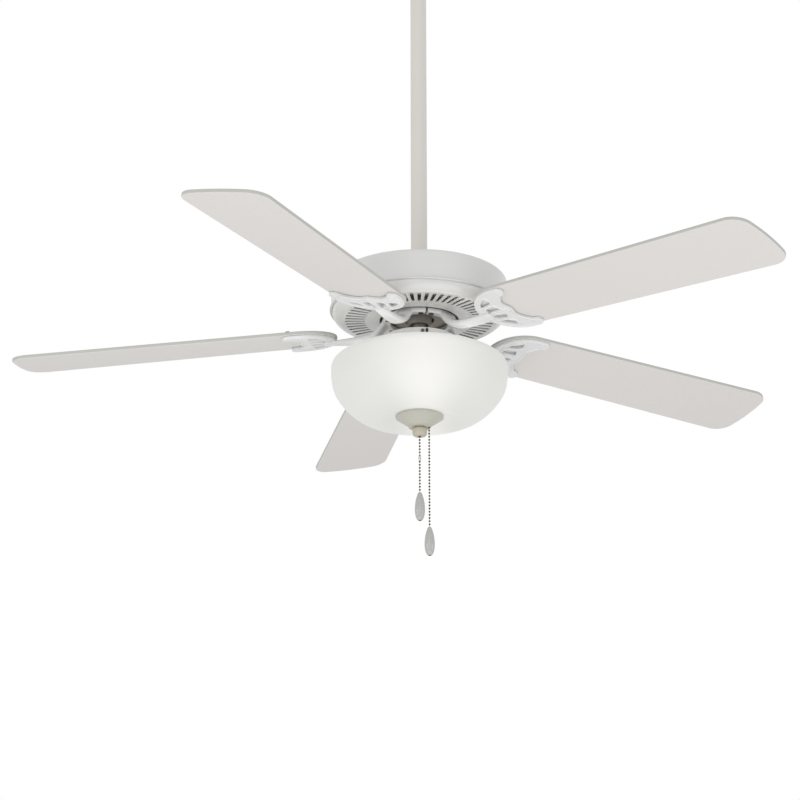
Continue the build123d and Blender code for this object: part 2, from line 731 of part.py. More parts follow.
def make_blade_screws():
    """Three dome-headed screws down through each blade into its iron."""
    local = blade_plane().location * Pos(-PLANE_R, 0, 0)
    dome_r = (SCREW_HEAD_R ** 2 + SCREW_HEAD_H ** 2) / (2 * SCREW_HEAD_H)
    screws = []
    for u, v in screw_spots():
        seat = BLADE_T + SEAT
        head = Pos(u, v, seat + SCREW_HEAD_H - dome_r) * Sphere(dome_r)
        head &= rod(SCREW_HEAD_R + 5, seat, seat + SCREW_HEAD_H + 1, u, v)
        screw = head + rod(SCREW_M5_R, -4.2, seat + 0.5, u, v)
        screw -= block((u - 4, u + 4), (v - 0.5, v + 0.5), (seat + SCREW_HEAD_H - 1, seat + SCREW_HEAD_H + 1))
        screw -= block((u - 0.5, u + 0.5), (v - 4, v + 4), (seat + SCREW_HEAD_H - 1, seat + SCREW_HEAD_H + 1))
        screws.append(local * screw)
    step = 360 / BLADE_COUNT
    turned = [Rot(0, 0, BLADE_AZIMUTH + i * step) * s for i in range(BLADE_COUNT) for s in screws]
    return Compound(children=turned)


# ---- switch housing ------------------------------------------------------------------------
def reverse_slot():
    """Window for the reversing switch's slider, through the housing's wall."""
    top = SWITCH_TOP - 2.0
    cut = block((SWITCH_R - 6, SWITCH_R + 4), (-SLOT_W / 2, SLOT_W / 2), (top - SLOT_H, top))
    return Rot(0, 0, REVERSE_AZIMUTH) * cut


def make_switch_plate():
    """Lid of the switch housing: a neck that grips the shaft, and a flange for the side screws."""
    r = SWITCH_R - SHEET - 0.1
    top = SWITCH_TOP
    body = rod(r, top - SHEET, top) + tube(r, r - SHEET, top - FLANGE_H, top)
    body += rod(NECK_R, top - SHEET, top + NECK_H)
    body -= rod(SHAFT_R + RUN, top - 5, top + NECK_H + 1)
    body -= reverse_slot()
    for azimuth in SIDE_SCREWS:
        body -= radial_rod(SCREW_M4_R + RUN, SWITCH_R - 5, SWITCH_R + 2, azimuth, top - 6)
    return body


def make_switch_housing():
    """Cup that holds the switches and the capacitor."""
    body = tube(SWITCH_R, SWITCH_R - SHEET, SWITCH_BOTTOM, SWITCH_TOP)
    body += rod(SWITCH_R, SWITCH_BOTTOM, SWITCH_BOTTOM + SHEET)
    body -= rod(NIPPLE_R + RUN, SWITCH_BOTTOM - 1, SWITCH_BOTTOM + 3)
    body -= rod(4.0 + EASY, SWITCH_BOTTOM - 1, SWITCH_BOTTOM + 3, LIGHT_CHAIN_X)
    body -= reverse_slot()
    for azimuth in SIDE_SCREWS:
        body -= radial_rod(SCREW_M4_R + RUN, SWITCH_R - 5, SWITCH_R + 2, azimuth, SWITCH_TOP - 6)
    for hole in around(rod(SCREW_M4_R + RUN, SWITCH_BOTTOM - 1, SWITCH_BOTTOM + 3, 48), 3, 90):
        body -= hole
    return body


def make_housing_screws():
    """Three side screws into the lid's flange, and three that hold the fitter pan."""
    screws = []
    for azimuth in SIDE_SCREWS:
        shank = radial_rod(SCREW_M4_R, SWITCH_R - 3.4, SWITCH_R + 0.5, azimuth, SWITCH_TOP - 6)
        head = radial_rod(2.9, SWITCH_R + SEAT, SWITCH_R + 1.5, azimuth, SWITCH_TOP - 6)
        screws.append(shank + head)
    pan = rod(SCREW_M4_R, PAN_BOTTOM - 0.5, SWITCH_BOTTOM + 4, 48)
    pan += rod(3.8, PAN_BOTTOM - 2.4, PAN_BOTTOM - SEAT, 48)
    return Compound(children=screws + around(pan, 3, 90))


def make_fan_switch():
    """Pull-chain speed switch, seated on the top of the centre tube."""
    low = NIPPLE_TOP + SEAT
    body = block((-16, 6), (-13, 13), (low, low + PULL_BOX_H - 1))
    return body - rod(NIPPLE_BORE_R, low - 1, low + 3)


def make_light_switch():
    """Pull-chain switch for the lamps, with a collar down through the pan."""
    low = NIPPLE_TOP + SEAT
    x = LIGHT_CHAIN_X
    body = block((x - 7.5, x + 8), (-9, 9), (low, low + PULL_BOX_H - 1))
    body += rod(4.0, PAN_BOTTOM - 3, low + 1, x)
    return body - rod(NIPPLE_BORE_R, PAN_BOTTOM - 4, low + 3, x)


def make_capacitor():
    low = SWITCH_BOTTOM + SHEET + SEAT
    body = block((-18, 18), (20, 36), (low, low + 21))
    return fillet(body.edges().filter_by(Axis.Z), 3.0)


def make_reverse_switch():
    """Body of the reversing slide switch, behind the slot in the wall."""
    top = SWITCH_TOP - SHEET - 0.8
    wall = SWITCH_R - 2 * SHEET - 0.1
    body = block((wall - 10, wall - 1.2), (-6, 6), (top - 13, top))
    body -= block((wall - 5, wall + 1), (-SLOT_W / 2, SLOT_W / 2), (SWITCH_TOP - 2 - SLOT_H, SWITCH_TOP - 2))
    return Rot(0, 0, REVERSE_AZIMUTH) * body


def make_reverse_slider():
    top = SWITCH_TOP - 2.3
    wall = SWITCH_R - 2 * SHEET - 0.1
    body = block((wall - 4.6, SWITCH_R + 2.2), (-SLOT_W / 2 + 0.2, SLOT_W / 2 - 0.2), (top - SLIDER_H, top))
    return Rot(0, 0, REVERSE_AZIMUTH) * body


def make_leads():
    """Three insulated leads, up the shaft and the rod to the ceiling box."""
    low = SWITCH_TOP - SHEET - 3.0
    high = ROD_TOP + 8.0
    wires = [rod(1.2, low, high, 5.2 * cos(radians(a)), 5.2 * sin(radians(a))) for a in (62, 118, 270)]
    return Compound(children=wires)


# ---- light kit -----------------------------------------------------------------------------
def make_fitter_pan():
    """Dish round the switch housing's foot, with the flange that the glass is drawn up to."""
    t, low = SHEET, PAN_BOTTOM
    inner = SWITCH_R + 0.2
    high = low + PAN_RISE + t
    body = spin([
        (NIPPLE_R + RUN, low), (inner + t, low), (inner + t, high - t), (PAN_FLANGE_R, high - t),
        (PAN_FLANGE_R, high), (inner, high), (inner, low + t), (NIPPLE_R + RUN, low + t),
    ])
    body -= rod(4.0 + EASY, low - 1, low + t + 1, LIGHT_CHAIN_X)
    for hole in around(rod(SCREW_M4_R + RUN, low - 1, low + t + 1, 48), 3, 90):
        body -= hole
    return body


def make_nipple():
    """Hollow threaded tube from the pan to the knob; the fan's chain runs inside it."""
    return tube(NIPPLE_R, NIPPLE_BORE_R, NIPPLE_BOTTOM, NIPPLE_TOP)


def nut_at(low):
    hexagon = extrude(Plane.XY.offset(low) * RegularPolygon(NUT_R, 6), amount=NUT_H)
    return hexagon - rod(NIPPLE_R + RUN, low - 1, low + NUT_H + 1)


def strap_top():
    return LAMP_Z + HOLDER_R + 4.0


def make_nipple_nuts():
    places = [
        SWITCH_BOTTOM + SHEET + SEAT, PAN_BOTTOM - SEAT - NUT_H,
        strap_top() + SEAT, strap_top() - STRAP_T - SEAT - NUT_H,
    ]
    return Compound(children=[nut_at(z) for z in places])


def make_lamp_strap():
    """Bent strap on the centre tube that carries the two lampholders."""
    top = strap_top()
    y, t, w = STRAP_Y, STRAP_T, STRAP_W / 2
    body = block((-w, w), (-y, y), (top - t, top))
    for side in (-1, 1):
        ear = sorted((side * y, side * (y - t)))
        body += block((-w, w), ear, (LAMP_Z - HOLDER_R + 4, top))
    return body - rod(NIPPLE_R + RUN, top - 5, top + 1)


def lamp_location(side):
    """Local z runs outward along a lamp's axis."""
    return Pos(0, side * STRAP_Y, LAMP_Z) * Rot(-90 * side, 0, 0)


def make_lampholders():
    holder = rod(HOLDER_R - 3, SEAT, 5) + rod(HOLDER_R, 4, HOLDER_L)
    holder -= rod(HOLDER_R - 3, 8, HOLDER_L + 1)
    return Compound(children=[lamp_location(side) * holder for side in (-1, 1)])


def make_bulb_bases():
    base = rod(HOLDER_R - 3.6, 8 + SEAT, HOLDER_L - 2)
    return Compound(children=[lamp_location(side) * base for side in (-1, 1)])


def make_bulb_globes():
    """Pear-shaped glass of each lamp."""
    neck, start = HOLDER_R - 4.2, HOLDER_L - 2 + SEAT
    end = start + BULB_L - 22
    middle = end - BULB_R
    with BuildPart() as made:
        with BuildSketch(Plane.XZ):
            with BuildLine():
                Line((0, start), (neck, start))
                Spline((neck, start), (BULB_R, middle), tangents=[(0, 1), (0, 1)])
                RadiusArc((BULB_R, middle), (0, end), -BULB_R)
                Line((0, end), (0, start))
            make_face()
        revolve(axis=Axis.Z)
    return Compound(children=[lamp_location(side) * made.part for side in (-1, 1)])


def bowl_side(inset):
    """Points of the bowl's wall from its widest level to its lowest ring, moved in by a wall."""
    r = BOWL_R - inset
    mid = LIP_Z - BOWL_MID
    deep = BOWL_BOTTOM + inset
    drop = mid - deep
    return [(r, mid), (r * 0.954, mid - drop * 0.462), (r * 0.736, mid - drop * 0.863), (BOWL_RING_R, deep)]


def make_bowl():
    """Blown glass bowl: a rolled shoulder up to the lip, and a kicked-up middle with a hole for the cap."""
    outer, inner = bowl_side(0), bowl_side(GLASS_T)
    mid_out, mid_in = outer[0], inner[0]
    flat, hole, seat = BOWL_FLAT_R, GLASS_HOLE_R, BOWL_SEAT
    shoulder_out = (BOWL_R * 0.745, LIP_Z - 5)
    shoulder_in = (BOWL_R * 0.745 - 1, LIP_Z - 5 - GLASS_T)
    with BuildPart() as made:
        with BuildSketch(Plane.XZ):
            with BuildLine():
                Spline((LIP_OUT, LIP_Z), shoulder_out, mid_out, tangents=[(1, -0.05), (0, -1)])
                Spline(*outer, tangents=[(0, -1), (-1, 0)])
                Spline(outer[-1], (flat, seat), tangents=[(-1, 0), (-1, 0)])
                Line((flat, seat), (hole, seat))
                Line((hole, seat), (hole, seat + GLASS_T))
                Line((hole, seat + GLASS_T), (flat, seat + GLASS_T))
                Spline((flat, seat + GLASS_T), inner[-1], tangents=[(1, 0), (1, 0)])
                Spline(*inner[::-1], tangents=[(1, 0), (0, 1)])
                Spline(mid_in, shoulder_in, (LIP_OUT, LIP_Z - GLASS_T), tangents=[(0, 1), (-1, 0.05)])
                Line((LIP_OUT, LIP_Z - GLASS_T), (LIP_IN, LIP_Z - GLASS_T))
                Line((LIP_IN, LIP_Z - GLASS_T), (LIP_IN, LIP_Z))
                Line((LIP_IN, LIP_Z), (LIP_OUT, LIP_Z))
            make_face()
        revolve(axis=Axis.Z)
    return made.part


def make_gasket():
    return tube(GASKET_OUT, GASKET_IN, CAP_TOP + SEAT, BOWL_SEAT - SEAT)


def make_cap():
    """Ringed cap under the glass, with a side hole for the light's chain."""
    top, low, end = CAP_TOP, CAP_BOTTOM, CAP_END_R
    rings = [(CAP_R, top), (CAP_R, top - 2.5), (CAP_R - 3.5, top - 4.5)]
    steps = 3
    r_step = (CAP_R - 3.5 - end) / steps
    z_step = (CAP_H - 6.5) / steps
    for i in range(1, steps + 1):
        r, z = CAP_R - 3.5 - i * r_step, top - 4.5 - i * z_step
        rings += [(r + 1.2, z + 0.6), (r, z)]
    rings += [(end, low), (NIPPLE_R + 0.2, low), (NIPPLE_R + 0.2, low + 2.5)]
    rings += [(GLASS_HOLE_R - 4, low + 2.5), (GLASS_HOLE_R, top - 3), (GLASS_HOLE_R, top)]
    return spin(rings) - rod(CHAIN_R + 1.0, low - 1, top + 1, LIGHT_CHAIN_X)


def make_knob():
    """Finial knob, screwed on the centre tube; it holds the glass up."""
    top, low = KNOB_TOP, KNOB_TOP - KNOB_H
    mid = (top + low) / 2
    with BuildPart() as made:
        with BuildSketch(Plane.XZ):
            with BuildLine():
                Line((NIPPLE_R + RUN, top), (KNOB_R - 3, top))
                Spline((KNOB_R - 3, top), (KNOB_R, mid), (KNOB_R - 4.5, low), tangents=[(1, -0.4), (-1, -0.2)])
                Line((KNOB_R - 4.5, low), (NIPPLE_BORE_R, low))
                Line((NIPPLE_BORE_R, low), (NIPPLE_BORE_R, NIPPLE_BOTTOM - SEAT))
                Line((NIPPLE_BORE_R, NIPPLE_BOTTOM - SEAT), (NIPPLE_R + RUN, NIPPLE_BOTTOM - SEAT))
                Line((NIPPLE_R + RUN, NIPPLE_BOTTOM - SEAT), (NIPPLE_R + RUN, top))
            make_face()
        revolve(axis=Axis.Z)
    return made.part


# ---- pull chains ---------------------------------------------------------------------------
def chain_top():
    return NIPPLE_TOP + SEAT + 2.5


def make_chain(x, low):
    """Straight bead chain drawn as a plain round cord, pulled tight by its pull."""
    return rod(CHAIN_R, low, chain_top(), x)


def make_coupling():
    """Bell-shaped connector where the fan's chain is lengthened."""
    r, h = COUPLING_R, COUPLING_H / 2
    bore = CHAIN_R + SEAT
    return spin([
        (bore, COUPLING_Z - h), (r, COUPLING_Z - h), (r, COUPLING_Z + h * 0.2),
        (r - 0.7, COUPLING_Z + h), (bore, COUPLING_Z + h),
    ])


def make_pull(x, top):
    """Teardrop pull: narrow neck, fullest near its foot."""
    with BuildPart() as made:
        with BuildSketch(Plane.XZ):
            with BuildLine():
                Line((0, top - SEAT), (PULL_R * 0.3, top - SEAT))
                Spline(
                    (PULL_R * 0.3, top - SEAT), (PULL_R * 0.55, top - PULL_L * 0.28),
                    (PULL_R, top - PULL_L * 0.72), (0, top - PULL_L),
                    tangents=[(0.1, -1), (-1, 0)],
                )
                Line((0, top - PULL_L), (0, top - SEAT))
            make_face()
        revolve(axis=Axis.Z)
    return Pos(x, 0, 0) * made.part


def main():
    os.makedirs("parts", exist_ok=True)
    save(make_bracket(), "hanger_bracket")
    save(make_canopy(), "canopy")
    save(make_canopy_screws(), "canopy_screws")
    save(make_ball(), "hanger_ball")
    save(make_ball_pin(), "hanger_ball_pin")
    save(make_rod(), "downrod")
    save(make_yoke(), "motor_yoke")
    save(make_clevis_pin(), "clevis_pin")
    save(make_clevis_clip(), "clevis_clip")
    save(make_rod_screws(), "rod_screws")
    save(make_coupling_cover(), "coupling_cover")
    save(make_upper_housing(), "upper_housing")
    save(make_lower_housing(), "vented_lower_housing")
    save(make_shaft(), "motor_shaft")
    save(make_stator(), "stator_core")
    save(make_windings(), "stator_windings")
    save(make_rotor_cage(), "rotor_cage")
    save(make_rotor_case(True), "rotor_case_top")
    save(make_rotor_case(False), "rotor_case_bottom")
    save(make_bearings(), "rotor_bearings")
    save(make_bearing_cup(), "bearing_cup")
    save(make_retaining_rings(), "retaining_rings")
    save(make_flywheel(), "flywheel")
    save(make_iron_screws(), "iron_screws")
    save(make_blade_screws(), "blade_screws")
    blade, iron = make_blade(), make_iron()
    for i in range(BLADE_COUNT):
        turn = Rot(0, 0, BLADE_AZIMUTH + i * 360 / BLADE_COUNT)
        save(turn * blade, f"blade_{i + 1}")
        save(turn * iron, f"blade_iron_{i + 1}")
    save(make_switch_plate(), "switch_plate")
    save(make_switch_housing(), "switch_housing")
    save(make_housing_screws(), "switch_housing_screws")
    save(make_fan_switch(), "fan_speed_switch")
    save(make_light_switch(), "light_switch")
    save(make_capacitor(), "capacitor")
    save(make_reverse_switch(), "reverse_switch")
    save(make_reverse_slider(), "reverse_slider")
    save(make_leads(), "supply_leads")
    save(make_fitter_pan(), "fitter_pan")
    save(make_nipple(), "centre_tube")
    save(make_nipple_nuts(), "centre_tube_nuts")
    save(make_lamp_strap(), "lamp_strap")
    save(make_lampholders(), "lampholders")
    save(make_bulb_bases(), "bulb_bases")
    save(make_bulb_globes(), "bulb_globes")
    save(make_bowl(), "glass_bowl")
    save(make_gasket(), "bowl_gasket")
    save(make_cap(), "bowl_cap")
    save(make_knob(), "finial_knob")
    save(make_chain(0, FAN_CHAIN_END), "fan_chain")
    save(make_chain(LIGHT_CHAIN_X, LIGHT_CHAIN_END), "light_chain")
    save(make_coupling(), "fan_chain_coupling")
    save(make_pull(0, FAN_CHAIN_END), "fan_pull")
    save(make_pull(LIGHT_CHAIN_X, LIGHT_CHAIN_END), "light_pull")


main()
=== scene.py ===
import bpy
import bmesh
import json
from math import cos, sin, pi, radians
from mathutils import Matrix, Vector


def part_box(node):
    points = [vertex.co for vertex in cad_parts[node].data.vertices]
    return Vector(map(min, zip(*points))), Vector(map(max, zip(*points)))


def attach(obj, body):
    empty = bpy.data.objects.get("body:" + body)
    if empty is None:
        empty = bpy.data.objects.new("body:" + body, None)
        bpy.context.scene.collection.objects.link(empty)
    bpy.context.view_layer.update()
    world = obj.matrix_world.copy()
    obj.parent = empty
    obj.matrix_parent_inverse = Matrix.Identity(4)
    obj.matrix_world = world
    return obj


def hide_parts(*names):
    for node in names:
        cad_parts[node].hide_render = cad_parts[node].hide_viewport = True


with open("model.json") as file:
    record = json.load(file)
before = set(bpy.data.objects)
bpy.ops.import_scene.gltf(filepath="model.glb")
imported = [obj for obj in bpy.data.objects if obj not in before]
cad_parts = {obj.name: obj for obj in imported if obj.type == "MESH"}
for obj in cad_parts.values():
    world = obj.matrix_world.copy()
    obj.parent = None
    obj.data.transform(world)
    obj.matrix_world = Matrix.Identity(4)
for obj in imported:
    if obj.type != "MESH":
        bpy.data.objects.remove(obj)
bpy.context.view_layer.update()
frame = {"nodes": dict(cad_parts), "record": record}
NODES = frame["nodes"]
MM = 0.001

# ---- places read from the frame ------------------------------------------------------------
def low(node):
    """Lowest corner of a node's box at rest."""
    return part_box(node)[0]


def high(node):
    """Highest corner of a node's box at rest."""
    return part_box(node)[1]


BLADE_COUNT = 5
BLADE_AZIMUTH = 29.8
BLADE_PITCH = 10.45
BLADE_DROOP = 2.9
PLANE_R = 200 * MM
FOOT_T = 8 * MM
FOOT_IN = 46 * MM
FOOT_OUT = 60 * MM
FOOT_HALF_DEG = 34.5
FOOT_TOP = low("flywheel").z - 0.05 * MM
FOOT_MID = FOOT_TOP - FOOT_T / 2
BLADE_DROP = 20.25 * MM
BLADE_Z = FOOT_TOP - FOOT_T - BLADE_DROP

# ---- camera --------------------------------------------------------------------------------
CAMERA_BACK = 3118.9 * MM
CAMERA_BELOW = 1189.5 * MM
CAMERA_PITCH = 19.14
CAMERA_YAW = 0.57
CAMERA_LENS = 93.6


def set_camera():
    """Camera below and in front of the fan, tilted up at it."""
    data = bpy.data.cameras.new("camera")
    data.lens = CAMERA_LENS
    data.sensor_width = 36
    data.clip_end = 60
    camera = bpy.data.objects.new("camera", data)
    camera.location = (0, -CAMERA_BACK, BLADE_Z - CAMERA_BELOW)
    camera.rotation_euler = (radians(90 + CAMERA_PITCH), 0, radians(CAMERA_YAW))
    bpy.context.collection.objects.link(camera)
    bpy.context.scene.camera = camera


# ---- shader groups -------------------------------------------------------------------------
def new_group(name, inputs, outputs):
    """Empty shader group with its named inputs and outputs."""
    group = bpy.data.node_groups.new(name, "ShaderNodeTree")
    for label, kind, value in inputs:
        socket = group.interface.new_socket(label, in_out="INPUT", socket_type=kind)
        if value is not None:
            socket.default_value = value
    for label, kind in outputs:
        group.interface.new_socket(label, in_out="OUTPUT", socket_type=kind)
    return group, group.nodes.new("NodeGroupInput"), group.nodes.new("NodeGroupOutput")


def surface_group():
    """Film or casting: broad colour drift, uneven gloss and a fine bump."""
    group, gin, out = new_group(
        "surface_detail",
        [
            ("Vector", "NodeSocketVector", None),
            ("Colour A", "NodeSocketColor", None),
            ("Colour B", "NodeSocketColor", None),
            ("Broad Scale", "NodeSocketFloat", 12.0),
            ("Fine Scale", "NodeSocketFloat", 900.0),
            ("Rough Low", "NodeSocketFloat", 0.3),
            ("Rough High", "NodeSocketFloat", 0.4),
            ("Bump", "NodeSocketFloat", 0.1),
            ("Depth", "NodeSocketFloat", 0.0002),
        ],
        [
            ("Colour", "NodeSocketColor"),
            ("Roughness", "NodeSocketFloat"),
            ("Normal", "NodeSocketVector"),
        ],
    )
    nodes, links = group.nodes, group.links
    broad = nodes.new("ShaderNodeTexNoise")
    broad.inputs["Detail"].default_value = 3
    fine = nodes.new("ShaderNodeTexNoise")
    fine.inputs["Detail"].default_value = 2
    links.new(gin.outputs["Vector"], broad.inputs["Vector"])
    links.new(gin.outputs["Vector"], fine.inputs["Vector"])
    links.new(gin.outputs["Broad Scale"], broad.inputs["Scale"])
    links.new(gin.outputs["Fine Scale"], fine.inputs["Scale"])
    mix = nodes.new("ShaderNodeMix")
    mix.data_type = "RGBA"
    links.new(broad.outputs["Fac"], mix.inputs["Factor"])
    links.new(gin.outputs["Colour A"], mix.inputs["A"])
    links.new(gin.outputs["Colour B"], mix.inputs["B"])
    links.new(mix.outputs["Result"], out.inputs["Colour"])
    spread = nodes.new("ShaderNodeMapRange")
    links.new(fine.outputs["Fac"], spread.inputs["Value"])
    links.new(gin.outputs["Rough Low"], spread.inputs["To Min"])
    links.new(gin.outputs["Rough High"], spread.inputs["To Max"])
    links.new(spread.outputs["Result"], out.inputs["Roughness"])
    bump = nodes.new("ShaderNodeBump")
    links.new(fine.outputs["Fac"], bump.inputs["Height"])
    links.new(gin.outputs["Bump"], bump.inputs["Strength"])
    links.new(gin.outputs["Depth"], bump.inputs["Distance"])
    links.new(bump.outputs["Normal"], out.inputs["Normal"])
    return group


def frost_group():
    """Frosted glass: a fine bump all over."""
    group, gin, out = new_group(
        "frost",
        [
            ("Vector", "NodeSocketVector", None),
            ("Scale", "NodeSocketFloat", 700.0),
            ("Bump", "NodeSocketFloat", 0.05),
            ("Depth", "NodeSocketFloat", 0.0002),
        ],
        [("Normal", "NodeSocketVector")],
    )
    nodes, links = group.nodes, group.links
    grain = nodes.new("ShaderNodeTexNoise")
    bump = nodes.new("ShaderNodeBump")
    links.new(gin.outputs["Vector"], grain.inputs["Vector"])
    links.new(gin.outputs["Scale"], grain.inputs["Scale"])
    links.new(grain.outputs["Fac"], bump.inputs["Height"])
    links.new(gin.outputs["Bump"], bump.inputs["Strength"])
    links.new(gin.outputs["Depth"], bump.inputs["Distance"])
    links.new(bump.outputs["Normal"], out.inputs["Normal"])
    return group


def painted_side_light_and_shade_group():
    """Painted shade and light on upright faces: darker as painted shade on a board's edge, lighter
    as painted light on a drum's wall.
    """
    group, gin, out = new_group(
        "painted_side_light_and_shade",
        [
            ("Surface Normal", "NodeSocketVector", None),
            ("Colour", "NodeSocketColor", None),
            ("Painted Side Colour", "NodeSocketColor", None),
            ("Upright Below", "NodeSocketFloat", 0.5),
            ("Flat Above", "NodeSocketFloat", 0.8),
        ],
        [("Colour", "NodeSocketColor")],
    )
    nodes, links = group.nodes, group.links
    split = nodes.new("ShaderNodeSeparateXYZ")
    flat = nodes.new("ShaderNodeMath")
    flat.operation = "ABSOLUTE"
    band = nodes.new("ShaderNodeMapRange")
    mix = nodes.new("ShaderNodeMix")
    mix.data_type = "RGBA"
    links.new(gin.outputs["Surface Normal"], split.inputs["Vector"])
    links.new(split.outputs["Z"], flat.inputs[0])
    links.new(flat.outputs["Value"], band.inputs["Value"])
    links.new(gin.outputs["Upright Below"], band.inputs["From Min"])
    links.new(gin.outputs["Flat Above"], band.inputs["From Max"])
    links.new(band.outputs["Result"], mix.inputs["Factor"])
    links.new(gin.outputs["Painted Side Colour"], mix.inputs["A"])
    links.new(gin.outputs["Colour"], mix.inputs["B"])
    links.new(mix.outputs["Result"], out.inputs["Colour"])
    return group


SURFACE = surface_group()
FROST = frost_group()
PAINTED_SIDE_LIGHT_AND_SHADE = painted_side_light_and_shade_group()


def principled(name):
    """New material with its node tree and its shader."""
    material = bpy.data.materials.new(name)
    material.use_nodes = True
    tree = material.node_tree
    return material, tree, tree.nodes["Principled BSDF"]


def place_group(tree, group, values):
    """A shader group in a material, with its own values."""
    node = tree.nodes.new("ShaderNodeGroup")
    node.node_tree = group
    for label, value in values.items():
        node.inputs[label].default_value = value
    return node


def object_vector(tree, scale=(1, 1, 1), turn=0.0):
    """Object coordinates, stretched and turned about the upright axis."""
    coords = tree.nodes.new("ShaderNodeTexCoord")
    mapping = tree.nodes.new("ShaderNodeMapping")
    mapping.vector_type = "TEXTURE"
    mapping.inputs["Rotation"].default_value = (0, 0, turn)
    mapping.inputs["Scale"].default_value = scale
    tree.links.new(coords.outputs["Object"], mapping.inputs["Vector"])
    return mapping.outputs["Vector"]


def finish(name, colour, drift=0.03, rough=(0.3, 0.4), metallic=0.0, coat=0.0, broad=12.0,
           fine=900.0, bump=0.08, depth=0.0002, scale=(1, 1, 1), turn=0.0, specular=0.5):
    """A material from the shared surface group, with its own colour, gloss and texture."""
    material, tree, shader = principled(name)
    darker = tuple(c * (1 - drift) for c in colour)
    detail = place_group(tree, SURFACE, {
        "Colour A": (*colour, 1),
        "Colour B": (*darker, 1),
        "Broad Scale": broad,
        "Fine Scale": fine,
        "Rough Low": rough[0],
        "Rough High": rough[1],
        "Bump": bump,
        "Depth": depth,
    })
    tree.links.new(object_vector(tree, scale, turn), detail.inputs["Vector"])
    tree.links.new(detail.outputs["Colour"], shader.inputs["Base Color"])
    tree.links.new(detail.outputs["Roughness"], shader.inputs["Roughness"])
    tree.links.new(detail.outputs["Normal"], shader.inputs["Normal"])
    shader.inputs["Metallic"].default_value = metallic
    shader.inputs["Coat Weight"].default_value = coat
    shader.inputs["Coat Roughness"].default_value = 0.12
    shader.inputs["Specular IOR Level"].default_value = specular
    return material


def paint_side_light_and_shade(material, colour, upright_below, flat_above):
    """Puts the painted shade or painted light of upright faces between a material's colour and its
    shader.
    """
    tree = material.node_tree
    colour_in = tree.nodes["Principled BSDF"].inputs["Base Color"]
    coords = tree.nodes.new("ShaderNodeTexCoord")
    tint = place_group(tree, PAINTED_SIDE_LIGHT_AND_SHADE, {
        "Painted Side Colour": (*colour, 1),
        "Upright Below": upright_below,
        "Flat Above": flat_above,
    })
    tree.links.new(coords.outputs["Normal"], tint.inputs["Surface Normal"])
    tree.links.new(colour_in.links[0].from_socket, tint.inputs["Colour"])
    tree.links.new(tint.outputs["Colour"], colour_in)
    return material


def add_frost(tree, shader, vector, scale):
    """Frosts a glass shader."""
    frost = place_group(tree, FROST, {"Scale": scale})
    tree.links.new(vector, frost.inputs["Vector"])
    tree.links.new(frost.outputs["Normal"], shader.inputs["Normal"])


def blade_finish(index):
    """Foil on board: faint grain that runs along the blade, and painted shade as a greyer band on
    its upright edges.
    """
    turn = radians(BLADE_AZIMUTH + index * 360 / BLADE_COUNT)
    material = finish(
        f"blade_foil_{index + 1}", (0.73, 0.705, 0.685), drift=0.035, rough=(0.38, 0.5),
        broad=5.0, fine=260.0, bump=0.12, depth=0.00025, scale=(14, 1, 1), turn=turn,
        specular=0.35,
    )
    # Painted shade: the board's upright edges are greyer.
    return paint_side_light_and_shade(material, (0.5, 0.5, 0.47), upright_below=0.55, flat_above=0.85)


def map_range(tree, source, from_low, from_high, to_low=0.0, to_high=1.0, smooth=False):
    """Map Range node on a value; returns its output."""
    node = tree.nodes.new("ShaderNodeMapRange")
    node.interpolation_type = "SMOOTHSTEP" if smooth else "LINEAR"
    node.inputs["From Min"].default_value = from_low
    node.inputs["From Max"].default_value = from_high
    node.inputs["To Min"].default_value = to_low
    node.inputs["To Max"].default_value = to_high
    tree.links.new(source, node.inputs["Value"])
    return node.outputs["Result"]


def combine(tree, operation, first, second):
    """Math node on two values, sockets or numbers; returns its output."""
    node = tree.nodes.new("ShaderNodeMath")
    node.operation = operation
    for socket, value in zip(node.inputs, (first, second)):
        if isinstance(value, (int, float)):
            socket.default_value = value
        else:
            tree.links.new(value, socket)
    return node.outputs["Value"]


def blend_colours(tree, factor, first, second):
    """Colour mix by a mask; a colour is a socket or three numbers."""
    node = tree.nodes.new("ShaderNodeMix")
    node.data_type = "RGBA"
    tree.links.new(factor, node.inputs["Factor"])
    for label, value in (("A", first), ("B", second)):
        if isinstance(value, tuple):
            node.inputs[label].default_value = (*value, 1)
        else:
            tree.links.new(value, node.inputs[label])
    return node.outputs["Result"]


# Painted light on the glass: where the painted band of light lies, how wide it is and how it widens
# upwards, and where the painted glow by the lamps starts and is full.
PAINTED_BAND_X = 10 * MM
PAINTED_BAND_WIDTH_LOW = 55 * MM
PAINTED_BAND_WIDTH_HIGH = 125 * MM
PAINTED_BAND_RISE = 75 * MM
PAINTED_LAMP_GLOW_FROM = 10 * MM
PAINTED_LAMP_GLOW_FULL = 3 * MM


